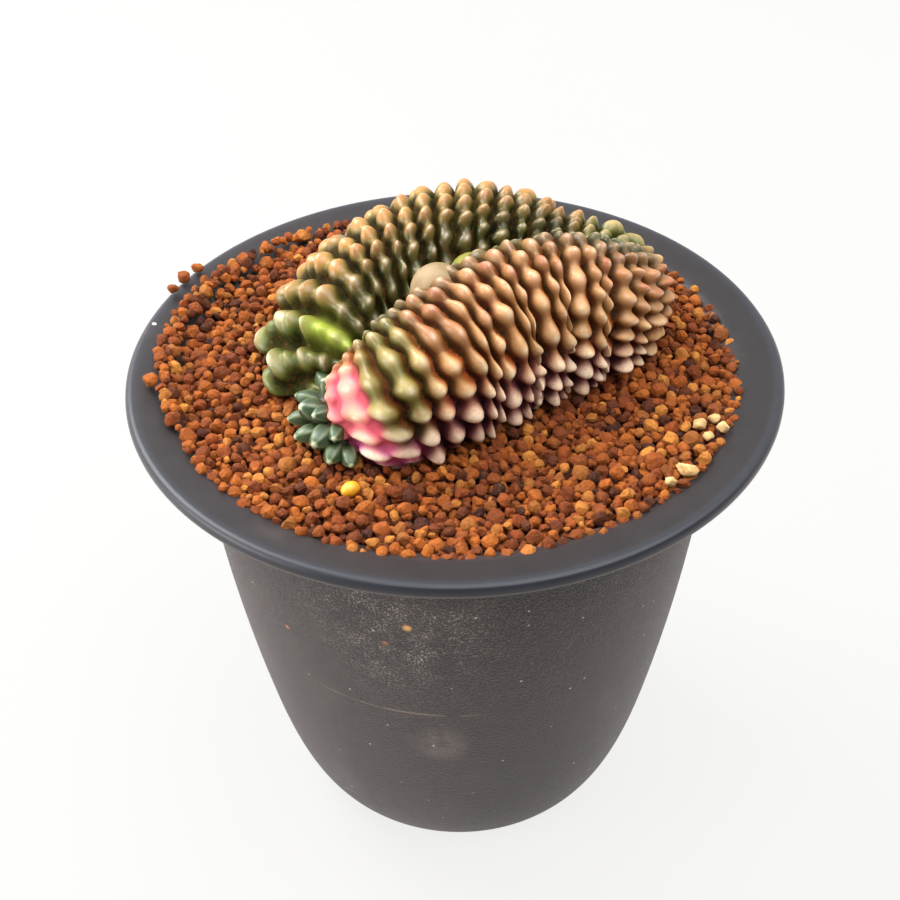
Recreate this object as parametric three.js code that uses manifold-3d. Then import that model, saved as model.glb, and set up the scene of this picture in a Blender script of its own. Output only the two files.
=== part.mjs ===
// A crested moon cactus in a black plant pot, filled to the brim with reddish-brown granules.
// Millimetres, +Z up. The origin is the centre of the pot's foot ring, and the front of the plant faces -Y.
import * as THREE from 'three';
import { mergeVertices } from 'three/addons/utils/BufferGeometryUtils.js';
import Module from 'manifold-3d';

const wasm = await Module();
wasm.setup();

// Pot: its outer sizes, then what follows from them.
const RIM_RADIUS = 50;
const POT_HEIGHT = 86;
const BASE_RADIUS = 25;
const WALL = 2.2;
const LIP = 2.4; // height of the lip's upright edge
const NECK_RADIUS = 40.6; // outside of the wall just under the flared brim
const CORNER_HEIGHT = 22.75; // the wall rounds into the base below this
const CORNER_RADIUS = 34.6; // outside of the wall at that height
const CORNER_PULL = 30.6; // where the corner's curve is pulled towards, at the level of the base
const WALL_PULL = [39.8, 52]; // and the wall's
const BRIM_INNER = 44; // the brim slopes into the mouth inside this
const FOOT_RING = 4; // width of the ring that the pot stands on
const FOOT_RECESS = 1.5;
const FLOOR_TOP = 4;
const DRAIN_RADIUS = 5;
const NECK_HEIGHT = POT_HEIGHT - 6; // where the wall starts to flare into the brim
const INNER_NECK = POT_HEIGHT - 8; // and where its inside does
const INNER_FLARE = [0.6, 2.6]; // where the inside's flare is pulled towards: out from the neck and down from the rim
const MOUTH_DROP = 1; // the mouth's edge lies this far under the rim
const UNDER_DROP = [0.4, 0.8]; // the brim's underside slopes down from the lip by this much, then by this much
const LOWER_EASE = [0.8, 0.5]; // rounding of the lip's lower corner, in and up
const UPPER_EASE = [0.7, 0.6]; // and of its upper corner, in and down
const TURNED_SIDES = 38;

// Soil: hard clay granules, level with the brim.
const GAP = 0.35; // clearance between neighbouring solids
const SOIL_LEVEL = POT_HEIGHT - 1.3;
const GRAIN = 3.6; // distance from one granule's peak to the next
const GRAIN_RISE = 0.8;
const GRAIN_DIP = -0.55;
const PRESSED = -0.75; // the granules under the plant's overhang lie lower than the rest
const PRESSED_WITHIN = 4.5;
const PRESSED_FULLY = 2; // within this distance of the plant they are all pressed
const PRESSED_GRAIN = 0.25; // half the height of such a granule
const GRAIN_SIZES = [0.6, 1.4]; // smallest and largest granule beside the usual one
const GRAIN_SHAKE = 0.5; // how far a corner of the lattice is moved, in steps of it
const SETTLED = 0.35; // the surface rolls up and down by this much, over these waves per millimetre
const SETTLED_WAVES = [0.11, 0.09];
const PEBBLE_SIZES = [0.88, 1.08]; // how far the corners of a loose stone lie from its middle, beside its size

// Plant: a crest whose ribs run from a central groove over a raised ridge and down to the soil.
const RIBS = 46;
const KNOBS = 15; // along one rib, from the groove to the soil
const KNOB_CROWDING = 1.03; // above 1, knobs are smaller towards the groove
const KNOB_HEIGHT = 2.6;
const KNOB_WIDTH = 0.56; // half of it, in rib spacings
const KNOB_LENGTH = 0.62; // half of it, in steps from knob to knob
const KNOB_SIZES = [0.86, 1.16]; // lowest and highest knob beside the usual one
const KNOB_SHIFT = 0.2; // chains of knobs are moved along their ribs by up to half of this, in steps
const KNOB_BLUNTNESS = 0.7; // under 1, knobs are blunter than an egg
const GROOVE_RELIEF = 0.25; // share of the relief in the groove, and how quickly it grows to 1 down the rib
const RELIEF_GROWTH = 1.9;
const LEVEL_RELIEF = 2; // the relief fades below this height over the soil
const RIB_COLUMNS = 3; // columns of the surface's grid over one rib
const KNOB_ROWS = 2; // rows of it over one knob
const RIB_HEIGHT = 1.6;
const LEAN = 0.15; // knobs lean down the rib by this share of their height
const GROOVE_HALF = 0.5;
const LEFT_END = 0.951; // where the groove's left end lies, as a share of the ribs
const SLANT = 3.8; // the ribs slant by this many ribs on the left half of the front fold,
const SLANTING = [-0.03, 0.06, 0.1, 0.36]; // which starts, is full, and fades again at these places round the ridge
const STRAIGHT_AT = 0.4; // the share of the way down where a slanting rib stands in its own place
const LOWERED = 0.3; // the ribs by the side shoot lie this many ribs further round,
const LOWERING = [0.78, 0.84, 0.93, 0.97]; // between these places
const WIDE_RIB = 1.3; // ribs wider than this are slimmer and taller, by these powers of how much wider they are
const SLIMMER = 0.6;
const TALLER = 0.5;
const SUNK = 3; // depth of the plant's foot in the soil
const FOOT_SHARE = 0.8; // the hole for it reaches this share of the flank's bulge, and a little further
const FOOT_ROOM = 0.6;

// The groove's own line, from its left end to its right end: x, y and height over the soil.
const GROOVE = [
  [-13, -9, 3],
  [-10, -5, 4],
  [-6.5, -1.5, 5],
  [-2, 2.5, 6],
  [4, 6, 7],
  [10.5, 7.5, 8],
  [17, 8.5, 9.5],
  [24, 10, 11],
];

// The ridge, all the way round, from the left end of the front fold: x, y and height over the soil, then how far the
// flank bulges out beyond it, the place on the groove that its rib starts from, and how strong the relief is there.
const RIDGE = [
  { at: [-16.2, -14.4, 9.6], reach: 3, from: 0, relief: 0.45 },
  { at: [-13.6, -16.6, 13], reach: 6.4, from: 0.03, relief: 0.7 },
  { at: [-9.6, -17, 15.6], reach: 9.6, from: 0.07, relief: 1 },
  { at: [-3.2, -13.2, 17.8], reach: 9.2, from: 0.2, relief: 1 },
  { at: [3.2, -7.8, 19.2], reach: 10, from: 0.42, relief: 1 },
  { at: [9.5, -3.6, 20], reach: 10, from: 0.62, relief: 1 },
  { at: [16.2, -0.8, 19.8], reach: 9.2, from: 0.82, relief: 1 },
  { at: [22, 2, 17.8], reach: 8.8, from: 0.95, relief: 1 },
  { at: [26, 5.8, 15], reach: 6.6, from: 1, relief: 1 },
  { at: [27, 11, 12], reach: 4, from: 1, relief: 1 },
  { at: [23.5, 15, 12], reach: 6, from: 0.96, relief: 1 },
  { at: [17.5, 15.2, 13.5], reach: 7.5, from: 0.84, relief: 1 },
  { at: [11, 16.2, 16.5], reach: 9, from: 0.7, relief: 1 },
  { at: [4, 16.6, 18], reach: 9.8, from: 0.55, relief: 1 },
  { at: [-2.5, 15.4, 18], reach: 9.8, from: 0.42, relief: 1 },
  { at: [-8.7, 12, 17], reach: 9.8, from: 0.3, relief: 1 },
  { at: [-14.2, 7.2, 15], reach: 9.6, from: 0.2, relief: 1 },
  { at: [-18.2, 2, 12], reach: 9, from: 0.1, relief: 1 },
  { at: [-20, -2.8, 8.5], reach: 8.4, from: 0.03, relief: 1 },
  { at: [-20, -8.2, 5.2], reach: 6, from: 0, relief: 0.9 },
  { at: [-16.2, -10.6, 3.6], reach: 2, from: 0, relief: 0.35 },
];

// How wide a rib is at some places round the ridge: its place as a share of the way, and its width beside the usual one.
const RIB_WIDTHS = [
  [0, 1.1],
  [0.1, 1],
  [0.35, 0.95],
  [0.5, 1],
  [0.7, 1.2],
  [0.8, 1.3],
  [0.87, 1.9],
  [0.93, 1.8],
  [0.965, 1],
  [1, 1.1],
];
const WIDTH_STEPS = 400;

// How long the knobs are on some of the ribs: the rib's number, and their length beside the usual one.
const KNOB_LENGTHS = [
  [0, 1.3],
  [3, 1.4],
  [8, 1.3],
  [14, 1.15],
  [19, 1.1],
  [22, 1.4],
  [26, 1],
  [34, 1.1],
  [38, 1.2],
  [40, 1.5],
  [41, 2.4],
  [43, 2.2],
  [44, 1.5],
  [46, 1.3],
];

// A section from the groove to the foot. Each row gives the share of the way out to the ridge, the share of the reach
// beyond it, the share of the climb from groove to ridge, and the share of the ridge's height that is left after it.
const SECTION = [
  { out: 0, beyond: 0, climb: 0 },
  { out: 0.16, beyond: 0, climb: 0.32 },
  { out: 0.42, beyond: 0, climb: 0.76 },
  { out: 0.7, beyond: 0, climb: 0.95 },
  { out: 1, beyond: 0, climb: 1 },
  { out: 1, beyond: 0.45, left: 0.94 },
  { out: 1, beyond: 0.85, left: 0.74 },
  { out: 1, beyond: 1, left: 0.45 },
  { out: 1, beyond: 0.93, left: 0.2 },
  { out: 1, beyond: 0.78, left: 0 },
  { out: 1, beyond: 0.72, left: 0, sunk: SUNK },
];

// A smooth round bud that sits in the groove, against the front fold, and a swelling behind it.
const BUDS = [
  { at: [-2.2, -4.2, 15.9], radius: 4 },
  { at: [1.9, 4.6, 13.6], radius: 3.6 },
];

// The side shoot: a short lying stem of three balls, given by their places and radii, with fat pointed knobs on it. Each
// knob is given by its root, the direction it points in, in degrees round and in degrees up, its length and half its width.
const SHOOT_STEM = [
  [-18, -12.6, 2.6, 2.3],
  [-18.2, -17, 2.4, 2.6],
  [-16.8, -21.2, 2, 2.4],
];
const SHOOT_KNOBS = [
  [-19, -15.6, 2.1, 190, 4, 5.4, 1.3],
  [-18.4, -16.8, 3.4, 200, 34, 4.8, 1.75],
  [-18.6, -13.2, 2.6, 168, 10, 5, 1.25],
  [-17.8, -11.8, 3, 128, 26, 4.4, 1.3],
  [-17.2, -13.6, 3.2, 160, 62, 4.2, 1.35],
  [-17, -17.4, 4, 224, 26, 4.8, 1.35],
  [-18.4, -19, 2.2, 203, 6, 5, 1.4],
  [-17.6, -19.8, 3, 244, 12, 5.4, 1.75],
  [-16.4, -20, 3.4, 262, 20, 4.6, 1.3],
  [-16.6, -21.6, 2, 256, 4, 4.8, 1.45],
  [-15.4, -22.4, 1.9, 280, 2, 4.4, 1.3],
  [-17.4, -11.4, 2.4, 100, 6, 4.2, 1.3],
];
const KNOB_FULLNESS = 2.13; // makes the widest part of such a knob as wide as stated
const SHOOT_FOOT = { at: [-17.8, -17], half: [4.4, 8.8] }; // its hole in the soil
const ROOT_SHARE = 0.75; // its root beside the ball that it grows from

// Loose pieces that lie on the granules or on the brim: the middle of each one, its size, and its turn in degrees.
const PALE_GRAINS = [
  { at: [35.1, -17.7, 85.5], size: [2.5, 2, 1.7], turn: 20 },
  { at: [37.4, -16.5, 85.8], size: [2.1, 1.7, 1.6], turn: 80 },
  { at: [38.3, -18.9, 85.9], size: [2.1, 1.8, 1.6], turn: 140 },
  { at: [36, -20.3, 85.4], size: [1.9, 1.6, 1.5], turn: 50 },
  { at: [31.9, -27.4, 85.6], size: [3.6, 2.5, 2], turn: 155 },
  { at: [29.2, -30.2, 85.7], size: [1.9, 1.6, 1.5], turn: 10 },
];
const PELLET = { at: [-14.7, -30.2, 85.6], size: [2.9, 2.2, 2.2], turn: 35 };
const BRIM_GRAINS = [
  { at: [-45.6, -6.2, 86.9], size: [3.2, 2.4, 2], turn: 100 },
  { at: [-45.4, 18, 87.1], size: [2.4, 2, 1.7], turn: 70 },
  { at: [-44.2, 21.4, 87.2], size: [2.6, 2.2, 1.9], turn: 120 },
  { at: [-42.2, 24.4, 87.1], size: [2.3, 1.9, 1.7], turn: 15 },
];

// A repeatable random number from 0 to 1 for two whole numbers.
function chance(i, j = 0) {
  const x = Math.sin(i * 12.9898 + j * 78.233) * 43758.5453;
  return x - Math.floor(x);
}

function solidOf(geometry) {
  const bare = geometry.clone();
  bare.deleteAttribute('normal');
  bare.deleteAttribute('uv');
  const merged = mergeVertices(bare, 1e-4);
  return new wasm.Manifold(
    new wasm.Mesh({
      numProp: 3,
      vertProperties: new Float32Array(merged.attributes.position.array),
      triVerts: new Uint32Array(merged.index.array),
    }),
  );
}

function geometryOf(solid) {
  const { vertProperties, triVerts, numProp } = solid.getMesh();
  const positions = new Float32Array((vertProperties.length / numProp) * 3);
  for (let i = 0; i < positions.length / 3; i++) {
    positions.set(vertProperties.subarray(i * numProp, i * numProp + 3), i * 3);
  }
  const geometry = new THREE.BufferGeometry();
  geometry.setAttribute('position', new THREE.BufferAttribute(positions, 3));
  geometry.setIndex(new THREE.BufferAttribute(triVerts, 1));
  geometry.computeVertexNormals();
  return geometry;
}

function largest(solid) {
  return solid.decompose().reduce((a, b) => (a.volume() > b.volume() ? a : b));
}

function meshOf(name, geometry, material) {
  const mesh = new THREE.Mesh(geometry, material);
  mesh.name = name;
  return mesh;
}

// Points on a curve from one place to another, pulled towards a third, without the first of them.
function bend(from, pull, to, steps) {
  const ends = [from, pull, to].map((p) => new THREE.Vector2(...p));
  return new THREE.QuadraticBezierCurve(...ends).getPoints(steps).slice(1);
}

// Turns a closed profile of radius and height about the Z axis.
function turned(outline) {
  const closed = [...outline, outline[0].clone()];
  return new THREE.LatheGeometry(closed, TURNED_SIDES).rotateX(Math.PI / 2);
}

// The inside of the wall from the floor up to the brim, moved in by a clearance.
function insideWall(gap) {
  const thick = WALL + gap;
  const floor = [BASE_RADIUS - thick, FLOOR_TOP + gap];
  const knee = [CORNER_RADIUS - thick, CORNER_HEIGHT + 1];
  const neck = [NECK_RADIUS - thick, INNER_NECK];
  const mouth = [BRIM_INNER - gap, POT_HEIGHT - MOUTH_DROP + gap / 3];
  return [
    new THREE.Vector2(...floor),
    ...bend(floor, [CORNER_PULL - thick, FLOOR_TOP + gap], knee, 2),
    ...bend(knee, [WALL_PULL[0] - thick, WALL_PULL[1]], neck, 2),
    ...bend(neck, [NECK_RADIUS - thick + INNER_FLARE[0], POT_HEIGHT - INNER_FLARE[1]], mouth, 2),
  ];
}

// Black plastic pot: a foot ring with a drain hole inside it, a rounded base and a flared brim with an upright lip.
function potGeometry() {
  const knee = [CORNER_RADIUS, CORNER_HEIGHT];
  const neck = [NECK_RADIUS, NECK_HEIGHT];
  const under = [BRIM_INNER, POT_HEIGHT - LIP - UNDER_DROP[0]];
  const outside = [
    new THREE.Vector2(DRAIN_RADIUS, FOOT_RECESS),
    new THREE.Vector2(BASE_RADIUS - FOOT_RING - FOOT_RECESS / 2, FOOT_RECESS),
    new THREE.Vector2(BASE_RADIUS - FOOT_RING, 0),
    new THREE.Vector2(BASE_RADIUS, 0),
    ...bend([BASE_RADIUS, 0], [CORNER_PULL, 0], knee, 4),
    ...bend(knee, WALL_PULL, neck, 2),
    ...bend(neck, [NECK_RADIUS, POT_HEIGHT - LIP - UNDER_DROP[1]], under, 2),
    new THREE.Vector2(RIM_RADIUS - LOWER_EASE[0], POT_HEIGHT - LIP),
    new THREE.Vector2(RIM_RADIUS, POT_HEIGHT - LIP + LOWER_EASE[1]),
    new THREE.Vector2(RIM_RADIUS, POT_HEIGHT - UPPER_EASE[1]),
    new THREE.Vector2(RIM_RADIUS - UPPER_EASE[0], POT_HEIGHT),
  ];
  return turned([...outside, ...insideWall(0).reverse(), new THREE.Vector2(DRAIN_RADIUS, FLOOR_TOP)]);
}

const groove = new THREE.CatmullRomCurve3(
  GROOVE.map((p) => new THREE.Vector3(...p)),
  false,
  'catmullrom',
  0.5,
);
const ridge = new THREE.CatmullRomCurve3(
  RIDGE.map((s) => new THREE.Vector3(...s.at)),
  true,
  'catmullrom',
  0.5,
);
ridge.arcLengthDivisions = 800;

// A value that stands at each ridge station, smoothly between stations.
function between(key, t) {
  const n = RIDGE.length;
  const i = Math.floor(t * n) % n;
  const share = t * n - Math.floor(t * n);
  const s = share * share * (3 - 2 * share);
  return THREE.MathUtils.lerp(RIDGE[i][key], RIDGE[(i + 1) % n][key], s);
}

// The value that a table of places and values has at one place, evenly between two rows.
function valueAt(table, place) {
  const n = table.findIndex(([at]) => at >= place);
  const [[before, low], [after, high]] = [table[Math.max(0, n - 1)], table[n]];
  return THREE.MathUtils.lerp(low, high, after > before ? (place - before) / (after - before) : 0);
}

// How many ribs of the usual width lie before each step of the way round.
const ribsBefore = [0];
for (let n = 0; n < WIDTH_STEPS; n++) ribsBefore.push(ribsBefore[n] + 1 / valueAt(RIB_WIDTHS, (n + 0.5) / WIDTH_STEPS));

// The place round the ridge, measured along it, that a share of all the ribs lies before.
function placeOf(share) {
  const wanted = share * ribsBefore[WIDTH_STEPS];
  const n = Math.max(0, ribsBefore.findIndex((count) => count > wanted) - 1);
  return (n + (wanted - ribsBefore[n]) / (ribsBefore[n + 1] - ribsBefore[n])) / WIDTH_STEPS;
}

// The smooth section at the place t round the ridge, as a curve from the groove to the foot.
function sectionAt(t) {
  const top = ridge.getPoint(t);
  const low = groove.getPoint(between('from', t));
  const out = new THREE.Vector2(top.x - low.x, top.y - low.y);
  const span = out.length();
  out.normalize();
  const reach = between('reach', t);
  const points = SECTION.map((row) => {
    const away = Math.max(GROOVE_HALF, row.out * span + row.beyond * reach);
    const height = row.climb === undefined ? row.left * top.z - (row.sunk ?? 0) : low.z + row.climb * (top.z - low.z);
    return new THREE.Vector3(low.x + out.x * away, low.y + out.y * away, height);
  });
  const curve = new THREE.CatmullRomCurve3(points, false, 'catmullrom', 0.5);
  curve.arcLengthDivisions = 120;
  return curve;
}

// Where the relief stands out: almost nothing in the groove, its full height on the ridge, and nothing under the soil.
function swell(along, height) {
  const grown = GROOVE_RELIEF + (RELIEF_GROWTH * along) / KNOBS;
  return Math.min(1, grown) * THREE.MathUtils.smoothstep(height, 0, LEVEL_RELIEF);
}

// Rises smoothly over the first two of four places and falls again over the last two.
function hill(x, [start, full, fading, end]) {
  return THREE.MathUtils.smoothstep(x, start, full) * (1 - THREE.MathUtils.smoothstep(x, fading, end));
}

// How far the ribs have moved on, in ribs, at a share of the way round the ridge and a share of the way down.
function ribDrift(around, down) {
  const pastEnd = ((around + 0.5) % 1) - 0.5;
  return SLANT * hill(pastEnd, SLANTING) * (down - STRAIGHT_AT) + LOWERED * hill(around, LOWERING);
}

// Height of the relief: a narrow rib with a chain of egg-shaped knobs on it. Knobs on neighbouring ribs lie half a step
// apart, so that they nest and the valleys between the ribs zigzag.
function relief(spread, along, around, t, above) {
  const across = spread - ribDrift(around, along / KNOBS);
  const wider = Math.max(1, valueAt(RIB_WIDTHS, around) / WIDE_RIB);
  const nearest = Math.round(across);
  let height = 0;
  for (const rib of [nearest - 1, nearest, nearest + 1]) {
    const index = ((rib % RIBS) + RIBS) % RIBS;
    const side = (across - rib) * wider ** SLIMMER;
    const step = along / valueAt(KNOB_LENGTHS, index) + (index % 2) * 0.5 + KNOB_SHIFT * (chance(index, 91) - 0.5);
    const past = step - Math.round(step);
    const size = THREE.MathUtils.lerp(...KNOB_SIZES, chance(index, Math.round(step)));
    const neck = RIB_HEIGHT * Math.max(0, 1 - (side / 0.5) ** 2);
    const bulb = 1 - (side / KNOB_WIDTH) ** 2 - (past / KNOB_LENGTH) ** 2;
    height = Math.max(height, neck, size * KNOB_HEIGHT * Math.max(0, bulb) ** KNOB_BLUNTNESS);
  }
  return between('relief', t) * swell(along, above) * wider ** TALLER * height;
}

// The crest: a closed grid with a vertex on the peak of each knob and one half way to the next.
function crestGeometry(grow = 0) {
  const columns = RIBS * RIB_COLUMNS;
  const rows = KNOBS * KNOB_ROWS;
  const grid = [];
  for (let c = 0; c < columns; c++) {
    const across = c / RIB_COLUMNS;
    const around = placeOf(c / columns);
    const t = ridge.getUtoTmapping(around);
    const section = sectionAt(t);
    const before = sectionAt(ridge.getUtoTmapping(placeOf(((c - 1 + columns) % columns) / columns)));
    const after = sectionAt(ridge.getUtoTmapping(placeOf(((c + 1) % columns) / columns)));
    for (let r = 0; r <= rows; r++) {
      const along = r / KNOB_ROWS;
      const u = (along / KNOBS) ** KNOB_CROWDING;
      const here = section.getPointAt(u);
      const outward = section.getPointAt(Math.min(1, u + 0.01)).sub(section.getPointAt(Math.max(0, u - 0.01)));
      const sideways = after.getPointAt(u).sub(before.getPointAt(u));
      const normal = outward.clone().cross(sideways).normalize();
      const height = relief(across, along, around, t, here.z);
      here.addScaledVector(normal, height + grow).addScaledVector(outward.normalize(), LEAN * height);
      grid.push(here.x, here.y, here.z + SOIL_LEVEL);
    }
  }
  const index = [];
  const at = (c, r) => (c % columns) * (rows + 1) + r;
  for (let c = 0; c < columns; c++) {
    for (let r = 0; r < rows; r++) {
      index.push(at(c, r), at(c, r + 1), at(c + 1, r), at(c + 1, r), at(c, r + 1), at(c + 1, r + 1));
    }
  }
  // Each end is closed by a strip that runs from left to right between the front half and the back half.
  const start = Math.round(columns * LEFT_END);
  const front = (n) => (start + n) % columns;
  const back = (n) => (start - n + columns) % columns;
  const strip = (r, a, b, c) => (r === 0 ? index.push(at(a, r), at(b, r), at(c, r)) : index.push(at(a, r), at(c, r), at(b, r)));
  for (const r of [0, rows]) {
    for (let n = 0; n < columns / 2; n++) {
      if (n > 0) strip(r, back(n), front(n), front(n + 1));
      if (n < columns / 2 - 1) strip(r, back(n), front(n + 1), back(n + 1));
    }
  }
  const geometry = new THREE.BufferGeometry();
  geometry.setAttribute('position', new THREE.Float32BufferAttribute(grid, 3));
  geometry.setIndex(index);
  return geometry;
}

// The outline of the crest where it meets the soil, widened by the clearance.
function crestFoot(points) {
  return Array.from({ length: points }, (_, n) => {
    const t = ridge.getUtoTmapping(n / points);
    const top = ridge.getPoint(t);
    const low = groove.getPoint(between('from', t));
    const out = new THREE.Vector2(top.x - low.x, top.y - low.y).normalize();
    return new THREE.Vector2(top.x, top.y).addScaledVector(out, between('reach', t) * FOOT_SHARE + FOOT_ROOM);
  });
}

// An oval outline for the side shoot's foot.
function shootFoot(points) {
  return new THREE.EllipseCurve(...SHOOT_FOOT.at, ...SHOOT_FOOT.half).getPoints(points).slice(1);
}

// A plain plug of an outline, which makes the hole in the soil.
function plugOf(outline) {
  const plug = new THREE.ExtrudeGeometry(new THREE.Shape(outline), { depth: SUNK + GAP + 6, bevelEnabled: false });
  return solidOf(plug.translate(0, 0, SOIL_LEVEL - SUNK - GAP));
}

// Height of the granules' surface over the soil level at one corner of the lattice. Every third corner is a peak.
function grainHeight(i, j, x, y, shores) {
  const peak = (((i - j) % 3) + 3) % 3 === 0;
  const size = THREE.MathUtils.lerp(...GRAIN_SIZES, chance(i + 211, j + 97));
  const settled = SETTLED * Math.sin(x * SETTLED_WAVES[0] + 1) * Math.cos(y * SETTLED_WAVES[1]);
  const near = shores.reduce((least, p) => Math.min(least, Math.hypot(p.x - x, p.y - y)), 99);
  const pressed = 1 - THREE.MathUtils.smoothstep(near, PRESSED_FULLY, PRESSED_WITHIN);
  const free = (peak ? GRAIN_RISE : GRAIN_DIP) * size + settled;
  return THREE.MathUtils.lerp(free, PRESSED + (peak ? PRESSED_GRAIN : -PRESSED_GRAIN), pressed);
}

// The granules: a slab whose top is a shaken lattice of peaks and dips, kept inside the pot, with a plain hole for each
// piece of the plant and a dent for each loose piece.
function soilGeometry(shores, holes) {
  const step = GRAIN / Math.sqrt(3);
  const reach = Math.ceil(BRIM_INNER / step) + 3;
  const side = 2 * reach + 1;
  const positions = [];
  for (let j = -reach; j <= reach; j++) {
    for (let k = -reach; k <= reach; k++) {
      const i = k - Math.floor(j / 2);
      const x = (i + j / 2 + GRAIN_SHAKE * (chance(i, j) - 0.5)) * step;
      const y = (j * Math.sin(Math.PI / 3) + GRAIN_SHAKE * (chance(j, i + 53) - 0.5)) * step;
      positions.push(x, y, SOIL_LEVEL + grainHeight(i, j, x, y, shores));
    }
  }
  const count = side * side;
  const index = [];
  for (let r = 0; r < side - 1; r++) {
    const odd = ((r - reach) % 2 + 2) % 2;
    for (let c = 0; c < side - 1; c++) {
      const a = r * side + c;
      const [b, d, e] = [a + 1, a + side, a + side + 1];
      if (odd) index.push(a, b, e, a, e, d);
      else index.push(a, b, d, b, e, d);
    }
  }
  const rim = [];
  for (let c = 0; c < side; c++) rim.push(c);
  for (let r = 1; r < side; r++) rim.push(r * side + side - 1);
  for (let c = side - 2; c >= 0; c--) rim.push((side - 1) * side + c);
  for (let r = side - 2; r > 0; r--) rim.push(r * side);
  for (const top of rim) positions.push(positions[top * 3], positions[top * 3 + 1], 0);
  rim.forEach((top, n) => {
    const next = (n + 1) % rim.length;
    index.push(top, count + n, count + next, top, count + next, rim[next]);
  });
  positions.push(0, 0, 0);
  rim.forEach((top, n) => index.push(count + rim.length, count + ((n + 1) % rim.length), count + n));
  const slab = new THREE.BufferGeometry();
  slab.setAttribute('position', new THREE.Float32BufferAttribute(positions, 3));
  slab.setIndex(index);
  const wall = insideWall(GAP);
  const mouth = wall[wall.length - 1];
  const inside = turned([
    new THREE.Vector2(0, FLOOR_TOP + GAP),
    ...wall,
    new THREE.Vector2(mouth.x + 0.1, mouth.y + 4),
    new THREE.Vector2(0, mouth.y + 4),
  ]);
  let soil = solidOf(slab).intersect(solidOf(inside));
  for (const hole of holes) soil = soil.subtract(hole);
  return geometryOf(largest(soil));
}

// A rough pebble with flattened faces.
function pebble(seed, { at, size, turn }, room = 0) {
  const stone = new THREE.IcosahedronGeometry(1, 1);
  const place = stone.attributes.position;
  for (let i = 0; i < place.count; i++) {
    const p = new THREE.Vector3().fromBufferAttribute(place, i);
    const key = Math.round(p.x * 7) + 3 * Math.round(p.y * 7) + 9 * Math.round(p.z * 7);
    p.multiplyScalar(THREE.MathUtils.lerp(...PEBBLE_SIZES, chance(key, seed)));
    place.setXYZ(i, p.x, p.y, p.z);
  }
  stone.scale(size[0] / 2 + room, size[1] / 2 + room, size[2] / 2 + room);
  return solidOf(stone.rotateZ(THREE.MathUtils.degToRad(turn)).translate(...at));
}

// The pellet is smooth and egg-shaped.
function pellet({ at, size, turn }, room = 0) {
  const egg = new THREE.SphereGeometry(1, 8, 6).rotateY(Math.PI / 2);
  egg.scale(size[0] / 2 + room, size[1] / 2 + room, size[2] / 2 + room);
  return solidOf(egg.rotateZ(THREE.MathUtils.degToRad(turn)).translate(...at));
}

// One knob of the side shoot: its radius grows quickly from the root and shrinks to a blunt point.
function shootKnob([x, y, z, round, up, length, half]) {
  const knob = new THREE.SphereGeometry(1, 6, 5).rotateX(Math.PI / 2);
  const place = knob.attributes.position;
  for (let i = 0; i < place.count; i++) {
    const share = THREE.MathUtils.clamp((place.getZ(i) + 1) / 2, 0, 1);
    const given = Math.hypot(place.getX(i), place.getY(i)) || 1;
    const radius = (KNOB_FULLNESS * half * share ** 0.5 * (1 - share) ** 0.6) / given;
    place.setXYZ(i, place.getX(i) * radius, place.getY(i) * radius, share * length);
  }
  knob.rotateY(THREE.MathUtils.degToRad(90 - up)).rotateZ(THREE.MathUtils.degToRad(round));
  return solidOf(knob.translate(x, y, z + SOIL_LEVEL));
}

// The side shoot: its knobs on a stem that lies on the soil, clear of the crest, with a root that stands in the soil.
function shootSolid(crestRoom) {
  const balls = SHOOT_STEM.map(([x, y, z, radius]) => new THREE.SphereGeometry(radius, 9, 6).translate(x, y, z + SOIL_LEVEL));
  const [x, y, z, radius] = SHOOT_STEM[1];
  const root = new THREE.CylinderGeometry(radius * ROOT_SHARE, radius * ROOT_SHARE, SUNK + z, 12);
  root.rotateX(Math.PI / 2).translate(x, y, SOIL_LEVEL + (z - SUNK) / 2);
  const parts = [...balls.map(solidOf), solidOf(root), ...SHOOT_KNOBS.map(shootKnob)];
  return largest(wasm.Manifold.union(parts).subtract(crestRoom));
}

const plastic = new THREE.MeshStandardMaterial({ color: 0x37363a, roughness: 0.62, metalness: 0 });
const clay = new THREE.MeshStandardMaterial({ color: 0x8f4a22, roughness: 0.9, metalness: 0 });
const flesh = new THREE.MeshStandardMaterial({ color: 0x8a7a4c, roughness: 0.45, metalness: 0 });
const young = new THREE.MeshStandardMaterial({ color: 0x55684f, roughness: 0.45, metalness: 0 });
const pumice = new THREE.MeshStandardMaterial({ color: 0xe6cf9c, roughness: 0.9, metalness: 0 });
const yellow = new THREE.MeshStandardMaterial({ color: 0xf0b21c, roughness: 0.35, metalness: 0 });

const plant = new THREE.Group();
plant.add(meshOf('pot', potGeometry(), plastic));

const buds = BUDS.map(({ at: [x, y, z], radius }) => new THREE.SphereGeometry(radius, 12, 8).translate(x, y, z + SOIL_LEVEL));
const crest = largest(wasm.Manifold.union([crestGeometry(), ...buds].map(solidOf)));
const shoot = shootSolid(solidOf(crestGeometry(GAP)));
const feet = [crestFoot(56), shootFoot(16)];
const dents = [...PALE_GRAINS.map((grain, n) => pebble(n, grain, GAP)), pellet(PELLET, GAP)];
plant.add(meshOf('soil', soilGeometry([...crestFoot(120), ...shootFoot(30)], [...feet.map(plugOf), ...dents]), clay));
plant.add(meshOf('crest', geometryOf(crest), flesh));
plant.add(meshOf('side_shoot', geometryOf(shoot), young));
PALE_GRAINS.forEach((grain, n) => plant.add(meshOf(`pale_grain_${n + 1}`, geometryOf(pebble(n, grain)), pumice)));
plant.add(meshOf('yellow_pellet', geometryOf(pellet(PELLET)), yellow));
BRIM_GRAINS.forEach((grain, n) => plant.add(meshOf(`brim_grain_${n + 1}`, geometryOf(pebble(n + 20, grain)), clay)));

export default plant;
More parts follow.
